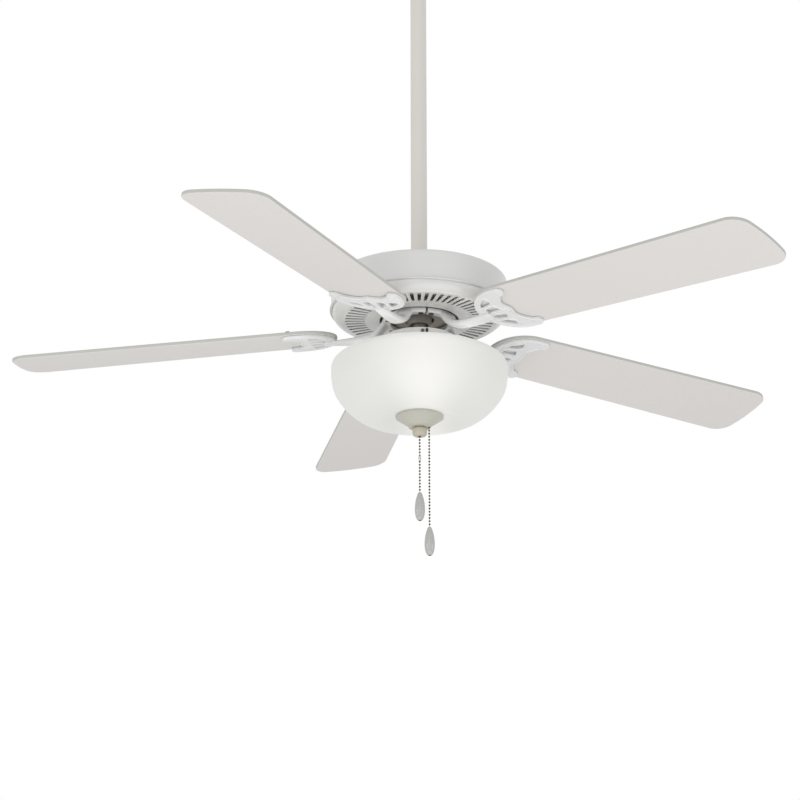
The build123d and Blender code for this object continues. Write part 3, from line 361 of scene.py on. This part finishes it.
def painted_glow_finish():
    """Frosted glass with a painted glow: no lamp lights it from inside, its emission is painted.

    A painted band of light narrows towards the cap, painted shade makes the sides greyer, and
    painted glow makes the top by the lamps brightest.
    """
    material, tree, shader = principled("opal_glass")
    position = object_vector(tree)
    split = tree.nodes.new("ShaderNodeSeparateXYZ")
    tree.links.new(position, split.inputs["Vector"])
    offset = combine(tree, "SUBTRACT", split.outputs["X"], PAINTED_BAND_X)
    aside = combine(tree, "ABSOLUTE", offset, 0.0)
    bottom, top = low("glass_bowl").z, high("glass_bowl").z
    width = map_range(
        tree, split.outputs["Z"], bottom, bottom + PAINTED_BAND_RISE, PAINTED_BAND_WIDTH_LOW, PAINTED_BAND_WIDTH_HIGH)
    painted_band = map_range(tree, combine(tree, "DIVIDE", aside, width), 0.0, 1.0, 1.0, 0.0, smooth=True)
    painted_lamp_glow = map_range(
        tree, split.outputs["Z"], top - PAINTED_LAMP_GLOW_FROM, top - PAINTED_LAMP_GLOW_FULL, smooth=True)
    # Painted light and shade: greyer painted shade at the sides, a brighter painted band, and the
    # brightest painted glow at the top by the lamps.
    glow = blend_colours(tree, painted_band, (0.302, 0.307, 0.29), (0.42, 0.414, 0.397))
    glow = blend_colours(tree, painted_lamp_glow, glow, (1.0, 0.98, 0.94))
    tree.links.new(glow, shader.inputs["Emission Color"])
    add_frost(tree, shader, position, 700)
    shader.inputs["Emission Strength"].default_value = 1.0
    shader.inputs["Base Color"].default_value = (0.45, 0.45, 0.44, 1)
    shader.inputs["Roughness"].default_value = 0.45
    shader.inputs["Specular IOR Level"].default_value = 0.3
    return material


def bulb_finish():
    """Frosted bulb glass, glowing evenly."""
    material, tree, shader = principled("bulb_glass")
    add_frost(tree, shader, object_vector(tree), 400)
    shader.inputs["Base Color"].default_value = (0.9, 0.88, 0.82, 1)
    shader.inputs["Emission Color"].default_value = (1.0, 0.93, 0.8, 1)
    shader.inputs["Emission Strength"].default_value = 1.5
    shader.inputs["Roughness"].default_value = 0.4
    return material


WHITE = (0.68, 0.68, 0.67)
BROWN_STEEL = (0.42, 0.37, 0.32)
# name: colour, drift to the darker colour, roughness range, metallic, and what differs besides
FINISHES = {
    "plated_steel": ((0.62, 0.62, 0.60), 0.1, (0.25, 0.38), 1.0, dict(broad=40)),
    "white_enamel": (WHITE, 0.02, (0.22, 0.28), 0.0, dict(coat=0.6, bump=0.03)),
    "rod_enamel": ((0.70, 0.67, 0.632), 0.03, (0.34, 0.42), 0.0, dict(coat=0.2)),
    "iron_enamel": (
        (0.76, 0.77, 0.77), 0.02, (0.22, 0.3), 0.0, dict(coat=0.5, fine=500, bump=0.06)),
    "ball_nylon": ((0.62, 0.60, 0.56), 0.05, (0.45, 0.55), 0.0, {}),
    "screw_steel": ((0.16, 0.14, 0.12), 0.2, (0.3, 0.45), 1.0, dict(broad=60)),
    "white_screw": (WHITE, 0.03, (0.3, 0.4), 0.0, dict(coat=0.3)),
    "bare_zinc": ((0.44, 0.42, 0.385), 0.2, (0.4, 0.6), 0.4, dict(broad=70, bump=0.3)),
    "lamination": ((0.34, 0.33, 0.31), 0.3, (0.4, 0.5), 1.0, dict(scale=(1, 1, 0.02))),
    "copper_wire": ((0.60, 0.25, 0.10), 0.2, (0.3, 0.4), 1.0, dict(fine=1500, bump=0.5)),
    "motor_steel": (BROWN_STEEL, 0.2, (0.4, 0.55), 0.5, dict(broad=50, bump=0.2)),
    "rotor_case": (BROWN_STEEL, 0.2, (0.4, 0.55), 0.3, dict(broad=50, bump=0.2)),
    "switch_black": ((0.012, 0.012, 0.012), 0.2, (0.35, 0.45), 0.0, {}),
    "lead_sleeve": ((0.04, 0.04, 0.045), 0.1, (0.4, 0.5), 0.0, {}),
    "holder_ceramic": ((0.76, 0.73, 0.66), 0.04, (0.15, 0.25), 0.0, dict(coat=0.6)),
    "lamp_brass": ((0.75, 0.56, 0.24), 0.1, (0.25, 0.35), 1.0, {}),
    "rubber": ((0.03, 0.03, 0.03), 0.2, (0.7, 0.8), 0.0, dict(bump=0.2)),
    "cap_enamel": ((0.52, 0.51, 0.445), 0.06, (0.4, 0.55), 0.0, dict(coat=0.15, broad=60)),
    "knob_enamel": ((0.50, 0.465, 0.365), 0.05, (0.38, 0.5), 0.0, dict(coat=0.15, broad=60)),
    "bell_steel": ((0.62, 0.61, 0.59), 0.1, (0.25, 0.35), 0.6, dict(broad=200)),
    "chain_steel": ((0.09, 0.075, 0.062), 0.2, (0.2, 0.35), 0.9, dict(broad=300)),
    "pull_plastic": (
        (0.44, 0.44, 0.43), 0.04, (0.14, 0.18), 0.0, dict(coat=0.6, fine=120, bump=0.02)),
}


def make_materials():
    """One material for each finish, by name."""
    made = {
        name: finish(name, colour, drift, rough, metallic, **rest)
        for name, (colour, drift, rough, metallic, rest) in FINISHES.items()
    }
    # Painted light: the rotor case's upright sides are lighter, standing in for light that barely
    # reaches them inside the housing.
    paint_side_light_and_shade(made["rotor_case"], (0.9, 0.9, 0.88), upright_below=0.3, flat_above=0.8)
    made["opal_glass"] = painted_glow_finish()
    made["bulb_glass"] = bulb_finish()
    return made


def paint_nodes(materials):
    """Every carried-over node takes its slot's material; blades and rotor case have their own."""
    for entry in frame["record"]["subparts"]:
        node, slot = entry["node"], entry["material_slot"]
        if slot == "blade_foil":
            material = blade_finish(int(node[-1]) - 1)
        elif node in ("rotor_case_top", "rotor_case_bottom"):
            material = materials["rotor_case"]
        else:
            material = materials[slot]
        mesh = NODES[node].data
        mesh.materials.clear()
        mesh.materials.append(material)


# ---- mesh helpers --------------------------------------------------------------------------
SHARP = radians(32)


def finish_mesh(bm, name):
    """Turns a bmesh into an object with outward faces, smooth but for its sharp edges."""
    bmesh.ops.recalc_face_normals(bm, faces=bm.faces)
    for face in bm.faces:
        face.smooth = True
    for edge in bm.edges:
        edge.smooth = len(edge.link_faces) == 2 and edge.calc_face_angle(0) < SHARP
    mesh = bpy.data.meshes.new(name)
    bm.to_mesh(mesh)
    bm.free()
    piece = bpy.data.objects.new(name, mesh)
    bpy.context.collection.objects.link(piece)
    return piece


def curve_through(points, first, last, steps=10):
    """Smooth line through (radius, height) points, with a direction given at both ends."""
    points = [Vector(p) for p in points]
    tangents = []
    for i, point in enumerate(points):
        if i == 0:
            tangents.append(Vector(first).normalized() * (points[1] - point).length)
        elif i == len(points) - 1:
            tangents.append(Vector(last).normalized() * (point - points[i - 1]).length)
        else:
            tangents.append((points[i + 1] - points[i - 1]) / 2)
    line = []
    for i in range(len(points) - 1):
        a, b, ta, tb = points[i], points[i + 1], tangents[i], tangents[i + 1]
        for k in range(steps):
            t = k / steps
            line.append(
                a * (2 * t ** 3 - 3 * t ** 2 + 1) + ta * (t ** 3 - 2 * t ** 2 + t)
                + b * (3 * t ** 2 - 2 * t ** 3) + tb * (t ** 3 - t ** 2)
            )
    line.append(points[-1])
    return [(p.x, p.y) for p in line]


def lathe(name, outline, x=0.0, segments=160, closed=True):
    """Turns an outline of (radius, height) points about an upright axis at x."""
    bm = bmesh.new()
    rings = []
    for r, z in outline:
        if r < 1e-6:
            rings.append([bm.verts.new((x, 0, z))])
            continue
        rings.append([
            bm.verts.new((x + r * cos(2 * pi * k / segments), r * sin(2 * pi * k / segments), z))
            for k in range(segments)
        ])
    pairs = list(zip(rings, rings[1:]))
    if closed:
        pairs.append((rings[-1], rings[0]))
    for a, b in pairs:
        for k in range(segments):
            n = (k + 1) % segments
            corners = [a[k % len(a)], a[n % len(a)], b[n % len(b)], b[k % len(b)]]
            unique = list(dict.fromkeys(corners))
            if len(unique) > 2:
                bm.faces.new(unique)
    return finish_mesh(bm, name)


def dress(piece, material, slot, body, *nodes):
    """Gives a piece its material and body, and the nodes that it stands for, if any; the slot is
    not used.
    """
    piece.data.materials.clear()
    piece.data.materials.append(material)
    if nodes:
        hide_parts(*nodes)
    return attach(piece, body)


def to_mesh(piece, name):
    """Applies a curve's bevel or an object's modifiers, as a plain mesh object."""
    graph = bpy.context.evaluated_depsgraph_get()
    mesh = bpy.data.meshes.new_from_object(piece.evaluated_get(graph))
    made = bpy.data.objects.new(name, mesh)
    bpy.context.collection.objects.link(made)
    bpy.data.objects.remove(piece)
    return made


# ---- glass, cap and knob -------------------------------------------------------------------
GLASS_WALL = 3.5 * MM
GLASS_EDGE = 1.2 * MM
LIP_OUT = 76 * MM
LIP_IN = 70 * MM
BOWL_MID = 28 * MM
SHOULDER_DROP = 5 * MM
SHOULDER_SHARE = 0.745
BOWL_RING_R = 68 * MM
BOWL_KICK = 8 * MM
BOWL_FLAT_R = 41 * MM
BOWL_HOLE_R = 20 * MM


def bowl_side(r, mid, bottom, inset):
    """Points down the bowl's side to its lowest ring, drawn in by an inset."""
    r, bottom = r - inset, bottom + inset
    drop = mid - bottom
    return [
        (r, mid), (r * 0.954, mid - drop * 0.462), (r * 0.736, mid - drop * 0.863),
        (BOWL_RING_R, bottom),
    ]


def bowl_kick(bottom, inset):
    """Rise from the lowest ring to the flat where the cap seats."""
    rise = [(BOWL_RING_R, bottom + inset), (BOWL_FLAT_R, bottom + BOWL_KICK + inset)]
    return curve_through(rise, (-1, 0), (-1, 0), 12)


def make_bowl(materials):
    """Blown glass: rolled shoulder, full sides and a middle kicked up round the cap's hole."""
    top, bottom, r = high("glass_bowl").z, low("glass_bowl").z, high("glass_bowl").x
    mid, seat, wall = top - BOWL_MID, bottom + BOWL_KICK, GLASS_WALL
    shoulder = (r * SHOULDER_SHARE, top - SHOULDER_DROP)
    shoulder_inside = (r * SHOULDER_SHARE - MM, top - SHOULDER_DROP - wall)
    outline = [(LIP_IN + GLASS_EDGE, top), (LIP_OUT, top)]
    outline += curve_through([(LIP_OUT, top), shoulder, (r, mid)], (1, -0.05), (0, -1), 16)[1:]
    outline += curve_through(bowl_side(r, mid, bottom, 0), (0, -1), (-1, 0), 16)[1:]
    outline += bowl_kick(bottom, 0)[1:] + [(BOWL_HOLE_R, seat), (BOWL_HOLE_R, seat + wall)]
    outline += bowl_kick(bottom, wall)[::-1]
    outline += curve_through(bowl_side(r, mid, bottom, wall), (0, -1), (-1, 0), 12)[::-1][1:]
    outline += curve_through(
        [(r - wall, mid), shoulder_inside, (LIP_OUT, top - wall)], (0, 1), (-1, 0.05), 10)[1:]
    outline += [(LIP_IN, top - wall), (LIP_IN, top - GLASS_EDGE)]
    bowl = lathe("glass_bowl_blown", outline, segments=192)
    return dress(bowl, materials["opal_glass"], "opal_glass", "hanging_fan", "glass_bowl")


DRUM_BEAD = 1.1 * MM


def make_drum_bead(materials):
    """Rolled bead round the lower edge of the drum."""
    r = high("upper_housing").x + 0.1 * MM
    z = low("upper_housing").z + 1.3 * MM
    ring = [
        (r + DRUM_BEAD * cos(2 * pi * k / 12), z + DRUM_BEAD * sin(2 * pi * k / 12))
        for k in range(12)
    ]
    piece = lathe("drum_bead", ring, segments=256)
    dress(piece, materials["white_enamel"], "white_enamel", "hanging_fan")


# ---- blade irons ---------------------------------------------------------------------------
def blade_matrix():
    """From a blade's own u, v, w to the row frame, for a blade along +X."""
    d, p = radians(BLADE_DROOP), radians(BLADE_PITCH)
    along = Vector((cos(d), 0, -sin(d)))
    across = Vector((0, cos(p), -sin(p)))
    up = along.cross(across).normalized()
    turn = Matrix((along, up.cross(along), up)).transposed().to_4x4()
    return Matrix.Translation((PLANE_R, 0, BLADE_Z)) @ turn @ Matrix.Translation((-PLANE_R, 0, 0))


def arc(cx, cy, r, start, end, steps):
    """Points along an arc about (cx, cy), from one angle to another in degrees."""
    angles = [radians(start + (end - start) * i / steps) for i in range(steps + 1)]
    return [(cx + r * cos(a), cy + r * sin(a)) for a in angles]


def pad_lines(inset=0.0):
    """Outline of the pad and of its four windows, in millimetres, drawn in by an inset."""
    c, r, ear_r = 193.0, 58.2 - inset, 9.0 - inset
    ear_u, ear_v = 206.0, 49.2
    front = curve_through(
        [
            (ear_u, ear_v - ear_r), (196.5 - inset, 32.0 - inset * 0.8), (189.5 - inset, 18.0),
            (193.5 - inset, 0.0),
        ],
        (-1, -0.15), (0.05, -1), 8)
    half = arc(c, 0, r, 180, 90, 20) + arc(ear_u, ear_v, ear_r, 90, -90, 10) + front[1:]
    mirrored = [(u, -v) for u, v in half[::-1]][1:-1]
    outline = half + mirrored
    windows = []
    for side in (1, -1):
        k = inset
        box = [(151 - k, 4 - k), (178 + k, 6 - k), (171 + k, 19 + k), (153 - k, 15 + k)]
        windows.append([(u, side * v) for u, v in rounded(box, 2.5 + k)])
        rim = arc(c, 0, 48 + k, 180 - 27 + k, 180 - 64 - k, 10)
        inner = arc_through(rim[-1], (172 + k, 28 - k * 0.5), rim[0], 8)
        windows.append([(u, side * v) for u, v in rim + inner[1:-1]])
    return outline, windows


def rounded(corners, r):
    """Polygon with its corners rounded by short arcs."""
    line = []
    count = len(corners)
    for i in range(count):
        a, b, c = (Vector(corners[(i + k) % count]) for k in (-1, 0, 1))
        into, out = (b - a).normalized(), (c - b).normalized()
        start, end = b - into * r, b + out * r
        for k in range(5):
            t = k / 4
            line.append(tuple(start * (1 - t) ** 2 + b * 2 * t * (1 - t) + end * t ** 2))
    return line


def arc_through(a, m, b, steps):
    """Quadratic curve from a to b that passes through m."""
    a, m, b = Vector(a), Vector(m), Vector(b)
    handle = m * 2 - (a + b) / 2
    shares = [i / steps for i in range(steps + 1)]
    return [tuple(a * (1 - t) ** 2 + handle * 2 * t * (1 - t) + b * t ** 2) for t in shares]


def curve_piece(name, lines, depth, filled, thick=0.0):
    """Closed lines in millimetres, as a filled plate with soft edges or as round rods."""
    data = bpy.data.curves.new(name, "CURVE")
    data.dimensions = "2D" if filled else "3D"
    data.fill_mode = "BOTH" if filled else "FULL"
    data.bevel_depth = depth
    data.bevel_resolution = 3
    if filled:
        data.extrude = thick
        data.offset = -depth
    for line in lines:
        spline = data.splines.new("POLY")
        spline.points.add(len(line) - 1)
        for point, place in zip(spline.points, line):
            u, v, w = (*place, 0)[:3]
            point.co = (u * MM, v * MM, w * MM, 1)
        spline.use_cyclic_u = True
    piece = bpy.data.objects.new(name, data)
    bpy.context.collection.objects.link(piece)
    return to_mesh(piece, name)


def loft(name, sections):
    """Closed skin over rings of points with the same count."""
    bm = bmesh.new()
    rings = [[bm.verts.new(p) for p in ring] for ring in sections]
    count = len(rings[0])
    for a, b in zip(rings, rings[1:]):
        for k in range(count):
            n = (k + 1) % count
            bm.faces.new((a[k], a[n], b[n], b[k]))
    bm.faces.new(rings[0][::-1])
    bm.faces.new(rings[-1])
    return finish_mesh(bm, name)


def arm_path():
    """Middle line of the arm as (radius, height), with its half width and half thickness."""
    bend = [
        (48.5, 0.2, 16, 3.4), (53, -0.6, 15, 4.4), (57.5, -3.6, 13.8, 5.4), (61.5, -9.2, 13, 5.8),
        (66.5, -15.4, 12.5, 6), (73, -20.3, 12, 6), (81, -23.6, 11.8, 5.9), (91, -26, 11.6, 5.7),
        (104, -27.6, 11.3, 5.4), (118, -28.4, 11, 5), (131, -28.8, 11, 4.4),
        (143, -29.2, 10.5, 3.6), (154, -29.6, 8, 2.6),
    ]
    return [(r * MM, FOOT_MID + z * MM, w * MM, t * MM) for r, z, w, t in bend]


ARM_SIDES = 24
ARM_SQUARE = 0.72
ARM_ROLL_FROM = 95 * MM
ARM_ROLL_LENGTH = 35 * MM


def squared(value):
    """Cosine or sine of a section's angle, swollen so that the section is nearer a rectangle."""
    return abs(value) ** ARM_SQUARE * (1 if value >= 0 else -1)


def make_arm():
    """Arm swept along its path, rolled to the blade's pitch over its outer part."""
    path = arm_path()
    sections = []
    for i, (r, z, half_w, half_t) in enumerate(path):
        before, after = path[max(i - 1, 0)], path[min(i + 1, len(path) - 1)]
        ahead = Vector((after[0] - before[0], 0, after[1] - before[1])).normalized()
        up = Vector((0, 1, 0)).cross(ahead) * -1
        blend = min(max((r - ARM_ROLL_FROM) / ARM_ROLL_LENGTH, 0), 1)
        roll = -radians(BLADE_PITCH) * blend
        side = Vector((0, cos(roll), sin(roll)))
        normal = up * cos(roll) - Vector((0, 1, 0)) * sin(roll)
        ring = []
        for k in range(ARM_SIDES):
            a = 2 * pi * k / ARM_SIDES
            across, over = squared(cos(a)), squared(sin(a))
            ring.append(Vector((r, 0, z)) + side * half_w * across + normal * half_t * over)
        sections.append(ring)
    return loft("arm", sections)


def make_foot():
    """Sector of the ring under the flywheel, with softened lower edges."""
    a, edge = FOOT_HALF_DEG, 1.6
    inner, outer, top = FOOT_IN / MM, FOOT_OUT / MM, FOOT_TOP / MM
    line = arc(0, 0, outer, -a, a, 28) + arc(0, 0, inner, a, -a, 20)
    piece = curve_piece("foot", [line], edge * MM, True, FOOT_T / 2 - edge * MM)
    piece.data.transform(Matrix.Translation((0, 0, (top - FOOT_T / MM / 2) * MM)))
    return piece


def join(pieces, name):
    """One mesh object from several."""
    bm = bmesh.new()
    for piece in pieces:
        bm.from_mesh(piece.data)
        bpy.data.objects.remove(piece)
    mesh = bpy.data.meshes.new(name)
    bm.to_mesh(mesh)
    bm.free()
    made = bpy.data.objects.new(name, mesh)
    bpy.context.collection.objects.link(made)
    return made


SCREW_SPOTS = ((181, 0), (206, 48), (206, -48))
PLATE_T = 4.2
PLATE_EDGE = 1.5
LIP_R = 1.9
LIP_W = -4.4
BOSS_R = 6.2
MELT_VOXEL = 0.85 * MM


def make_boss(u, v):
    """Round boss under a blade screw."""
    ring = [2 * pi * k / 24 for k in range(24)]
    return loft("boss", [
        [Vector(((u + BOSS_R * cos(a)) * MM, (v + BOSS_R * sin(a)) * MM, w * MM)) for a in ring]
        for w in (-0.1, -5.7)
    ])


def make_iron_mesh():
    """Cast iron: plate with a raised lip round every edge, arm and foot, melted together."""
    outline, windows = pad_lines()
    half = PLATE_T / 2
    plate = curve_piece(
        "plate", [outline] + windows, PLATE_EDGE * MM, True, (half - PLATE_EDGE) * MM)
    plate.data.transform(Matrix.Translation((0, 0, -(half + 0.05) * MM)))
    rim_line, rim_windows = pad_lines(LIP_R * 0.9)
    lip_lines = [[(u, v, LIP_W) for u, v in line] for line in [rim_line] + rim_windows]
    lips = curve_piece("lips", lip_lines, LIP_R * MM, False)
    pad = join([plate, lips] + [make_boss(u, v) for u, v in SCREW_SPOTS], "pad")
    pad.data.transform(blade_matrix())
    iron = join([pad, make_arm(), make_foot()], "iron")
    melt = iron.modifiers.new("melt", "REMESH")
    melt.mode = "VOXEL"
    melt.voxel_size = MELT_VOXEL
    melt.use_smooth_shade = True
    soften = iron.modifiers.new("soften", "SMOOTH")
    soften.factor = 0.5
    soften.iterations = 4
    return to_mesh(iron, "iron")


def make_irons(materials):
    """Five copies of the cast iron, one for each blade."""
    pattern = make_iron_mesh()
    for index in range(BLADE_COUNT):
        turn = Matrix.Rotation(radians(BLADE_AZIMUTH + index * 360 / BLADE_COUNT), 4, "Z")
        mesh = pattern.data.copy()
        mesh.transform(turn)
        piece = bpy.data.objects.new(f"cast_iron_{index + 1}", mesh)
        bpy.context.collection.objects.link(piece)
        node = f"blade_iron_{index + 1}"
        dress(piece, materials["iron_enamel"], "iron_enamel", "rotor", node)
    bpy.data.objects.remove(pattern)


# ---- pull chains ---------------------------------------------------------------------------
BEAD_R = 1.6 * MM
BEAD_PITCH = 5.1 * MM
LINK_R = 0.18 * MM


def chain_tree():
    """Geometry Nodes: beads at an even pitch along a line, on a thin wire."""
    tree = bpy.data.node_groups.new("bead_chain", "GeometryNodeTree")
    face = tree.interface
    face.new_socket("Geometry", in_out="INPUT", socket_type="NodeSocketGeometry")
    for label in ("Bead Radius", "Pitch", "Wire Radius"):
        face.new_socket(label, in_out="INPUT", socket_type="NodeSocketFloat")
    face.new_socket("Material", in_out="INPUT", socket_type="NodeSocketMaterial")
    face.new_socket("Geometry", in_out="OUTPUT", socket_type="NodeSocketGeometry")
    nodes, links = tree.nodes, tree.links
    gin, out = nodes.new("NodeGroupInput"), nodes.new("NodeGroupOutput")
    line = nodes.new("GeometryNodeMeshToCurve")
    points = nodes.new("GeometryNodeCurveToPoints")
    points.mode = "LENGTH"
    bead = nodes.new("GeometryNodeMeshUVSphere")
    bead.inputs["Segments"].default_value = 12
    bead.inputs["Rings"].default_value = 8
    place = nodes.new("GeometryNodeInstanceOnPoints")
    wire_shape = nodes.new("GeometryNodeCurvePrimitiveCircle")
    wire_shape.inputs["Resolution"].default_value = 8
    wire = nodes.new("GeometryNodeCurveToMesh")
    wire.inputs["Fill Caps"].default_value = True
    smooth = nodes.new("GeometryNodeSetShadeSmooth")
    both = nodes.new("GeometryNodeJoinGeometry")
    real = nodes.new("GeometryNodeRealizeInstances")
    paint = nodes.new("GeometryNodeSetMaterial")
    links.new(gin.outputs["Geometry"], line.inputs["Mesh"])
    links.new(line.outputs["Curve"], points.inputs["Curve"])
    links.new(gin.outputs["Pitch"], points.inputs["Length"])
    links.new(gin.outputs["Bead Radius"], bead.inputs["Radius"])
    links.new(points.outputs["Points"], place.inputs["Points"])
    links.new(bead.outputs["Mesh"], place.inputs["Instance"])
    links.new(gin.outputs["Wire Radius"], wire_shape.inputs["Radius"])
    links.new(line.outputs["Curve"], wire.inputs["Curve"])
    links.new(wire_shape.outputs["Curve"], wire.inputs["Profile Curve"])
    links.new(place.outputs["Instances"], both.inputs["Geometry"])
    links.new(wire.outputs["Mesh"], both.inputs["Geometry"])
    links.new(both.outputs["Geometry"], real.inputs["Geometry"])
    links.new(real.outputs["Geometry"], smooth.inputs["Geometry"])
    links.new(smooth.outputs["Geometry"], paint.inputs["Geometry"])
    links.new(gin.outputs["Material"], paint.inputs["Material"])
    links.new(paint.outputs["Geometry"], out.inputs["Geometry"])
    return tree


def set_inputs(modifier, values):
    """Fills a Geometry Nodes modifier's inputs by their names."""
    for item in modifier.node_group.interface.items_tree:
        if item.in_out == "INPUT" and item.name in values:
            modifier[item.identifier] = values[item.name]


def chain_route(name, x, top, bottom):
    """The chain's hanging line, as a mesh of edges read from its spline, and its points."""
    data = bpy.data.curves.new(name, "CURVE")
    data.dimensions = "3D"
    data.resolution_u = 6
    spline = data.splines.new("NURBS")
    spline.points.add(3)
    for point, share in zip(spline.points, (0, 0.3, 0.7, 1)):
        point.co = (x, 0, top + (bottom - top) * share, 1)
    spline.order_u = 3
    spline.use_endpoint_u = True
    route = bpy.data.objects.new(name, data)
    bpy.context.collection.objects.link(route)
    piece = to_mesh(route, name)
    return piece, [vertex.co.copy() for vertex in piece.data.vertices]


def make_chain(node, body, tree, materials):
    """Bead chain that hangs straight from its switch to its pull."""
    x, top, bottom = upright_line(node)
    piece, path = chain_route(f"{node}_route", x, top, bottom)
    modifier = piece.modifiers.new("beads", "NODES")
    modifier.node_group = tree
    set_inputs(modifier, {
        "Bead Radius": BEAD_R,
        "Pitch": BEAD_PITCH,
        "Wire Radius": LINK_R,
        "Material": materials["chain_steel"],
    })
    piece = to_mesh(piece, f"{node}_beads")
    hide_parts(node)
    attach(piece, body)


PULL_R = 8 * MM
# share of the pull's full radius, and share of its length from its top
PULL_SHAPE = (
    (0.34, 0.0), (0.56, 0.1), (0.75, 0.2), (0.92, 0.36), (1.0, 0.54), (0.99, 0.68), (0.88, 0.82),
    (0.66, 0.925), (0.36, 0.985),
)
# radius in millimetres, and share of the connector's length from its top
BELL_SHAPE = ((0.9, 0.0), (1.7, 0.12), (2.05, 0.4), (2.05, 0.62), (1.75, 0.88), (1.0, 1.0))


def upright_line(node):
    """Middle x, top and bottom of a node that hangs upright."""
    return (low(node).x + high(node).x) / 2, high(node).z, low(node).z


def make_pull(node, body, materials):
    """Teardrop pull, fullest below its middle, with a dark ferrule under its foot."""
    x, top, bottom = upright_line(node)
    points = [(PULL_R * r, top - (top - bottom) * d) for r, d in PULL_SHAPE]
    foot = points[-1][1]
    outline = [(0, top)] + curve_through(points, (1, -0.8), (-1, -0.15), 6) + [(0, foot)]
    piece = lathe(f"{node}_drop", outline, x, 48, closed=False)
    dress(piece, materials["pull_plastic"], "pull_plastic", body, node)
    wide, narrow = 0.3 * PULL_R, 0.24 * PULL_R
    ring = [(0, foot), (wide, foot), (wide, bottom + 0.3 * MM), (narrow, bottom), (0, bottom)]
    ferrule = lathe(f"{node}_ferrule", ring, x, 32, closed=False)
    dress(ferrule, materials["chain_steel"], "chain_steel", body)
    return [piece, ferrule]


def make_bell(node, body, materials):
    """Bell connector that joins two lengths of chain."""
    x, top, bottom = upright_line(node)
    points = [(r * MM, top - (top - bottom) * d) for r, d in BELL_SHAPE]
    outline = [(0, top)] + curve_through(points, (1, -0.2), (-1, -0.2), 5) + [(0, bottom)]
    piece = lathe(f"{node}_bell", outline, x, 32, closed=False)
    dress(piece, materials["bell_steel"], "chain_steel", body, node)
    return piece


# ---- surroundings --------------------------------------------------------------------------
FLOOR_DROP = 2.75
FLOOR_HALF = 9.0


def set_floor():
    """Plain pale floor, well below the fan."""
    bm = bmesh.new()
    for x, y in ((-1, -1), (1, -1), (1, 1), (-1, 1)):
        bm.verts.new((x * FLOOR_HALF, y * FLOOR_HALF, -FLOOR_DROP))
    bm.faces.new(bm.verts)
    floor = finish_mesh(bm, "floor")
    floor.data.materials.append(
        finish("floor_pale", (0.80, 0.80, 0.79), 0.02, (0.7, 0.8), broad=1.5, fine=60))


def set_world():
    """Soft white surroundings, a little dimmer as light than as a backdrop."""
    world = bpy.data.worlds.new("studio")
    bpy.context.scene.world = world
    world.use_nodes = True
    nodes, links = world.node_tree.nodes, world.node_tree.links
    sky = nodes["Background"]
    sky.inputs["Color"].default_value = (1, 1, 1, 1)
    sky.inputs["Strength"].default_value = 0.8
    seen = nodes.new("ShaderNodeBackground")
    seen.inputs["Color"].default_value = (1, 1, 1, 1)
    seen.inputs["Strength"].default_value = 1.0
    path = nodes.new("ShaderNodeLightPath")
    mix = nodes.new("ShaderNodeMixShader")
    links.new(path.outputs["Is Camera Ray"], mix.inputs["Fac"])
    links.new(sky.outputs["Background"], mix.inputs[1])
    links.new(seen.outputs["Background"], mix.inputs[2])
    links.new(mix.outputs["Shader"], nodes["World Output"].inputs["Surface"])


def add_softbox(name, place, size, power, colour=(1, 1, 1)):
    """Square light that faces the fan's hub."""
    data = bpy.data.lights.new(name, "AREA")
    data.shape = "SQUARE"
    data.size = size
    data.energy = power
    data.color = colour
    light = bpy.data.objects.new(name, data)
    light.location = place
    light.visible_camera = False
    aim = Vector((0, 0, BLADE_Z)) - Vector(place)
    light.rotation_euler = aim.to_track_quat("-Z", "Y").to_euler()
    bpy.context.collection.objects.link(light)


def set_lights():
    """Softboxes before, beside and under the fan; the last one lights the blades from the floor."""
    add_softbox("front", (-0.4, -3.6, BLADE_Z + 0.5), 1.2, 6)
    add_softbox("left", (-2.9, -1.9, BLADE_Z - 0.2), 1.4, 12)
    add_softbox("right", (2.9, -1.7, BLADE_Z - 0.3), 1.4, 7)
    add_softbox("under", (0, -0.6, 0.12 - FLOOR_DROP), 3.6, 34)


bpy.context.scene.view_settings.view_transform = "Standard"
set_camera()
MATERIALS = make_materials()
paint_nodes(MATERIALS)
make_bowl(MATERIALS)
make_drum_bead(MATERIALS)
make_irons(MATERIALS)
CHAIN_TREE = chain_tree()
fan_end = make_pull("fan_pull", "fan_pull_chain", MATERIALS)
fan_end.append(make_bell("fan_chain_coupling", "fan_pull_chain", MATERIALS))
light_end = make_pull("light_pull", "light_pull_chain", MATERIALS)
make_chain("fan_chain", "fan_pull_chain", CHAIN_TREE, MATERIALS)
make_chain("light_chain", "light_pull_chain", CHAIN_TREE, MATERIALS)
set_floor()
set_world()
set_lights()

bpy.context.view_layer.update()
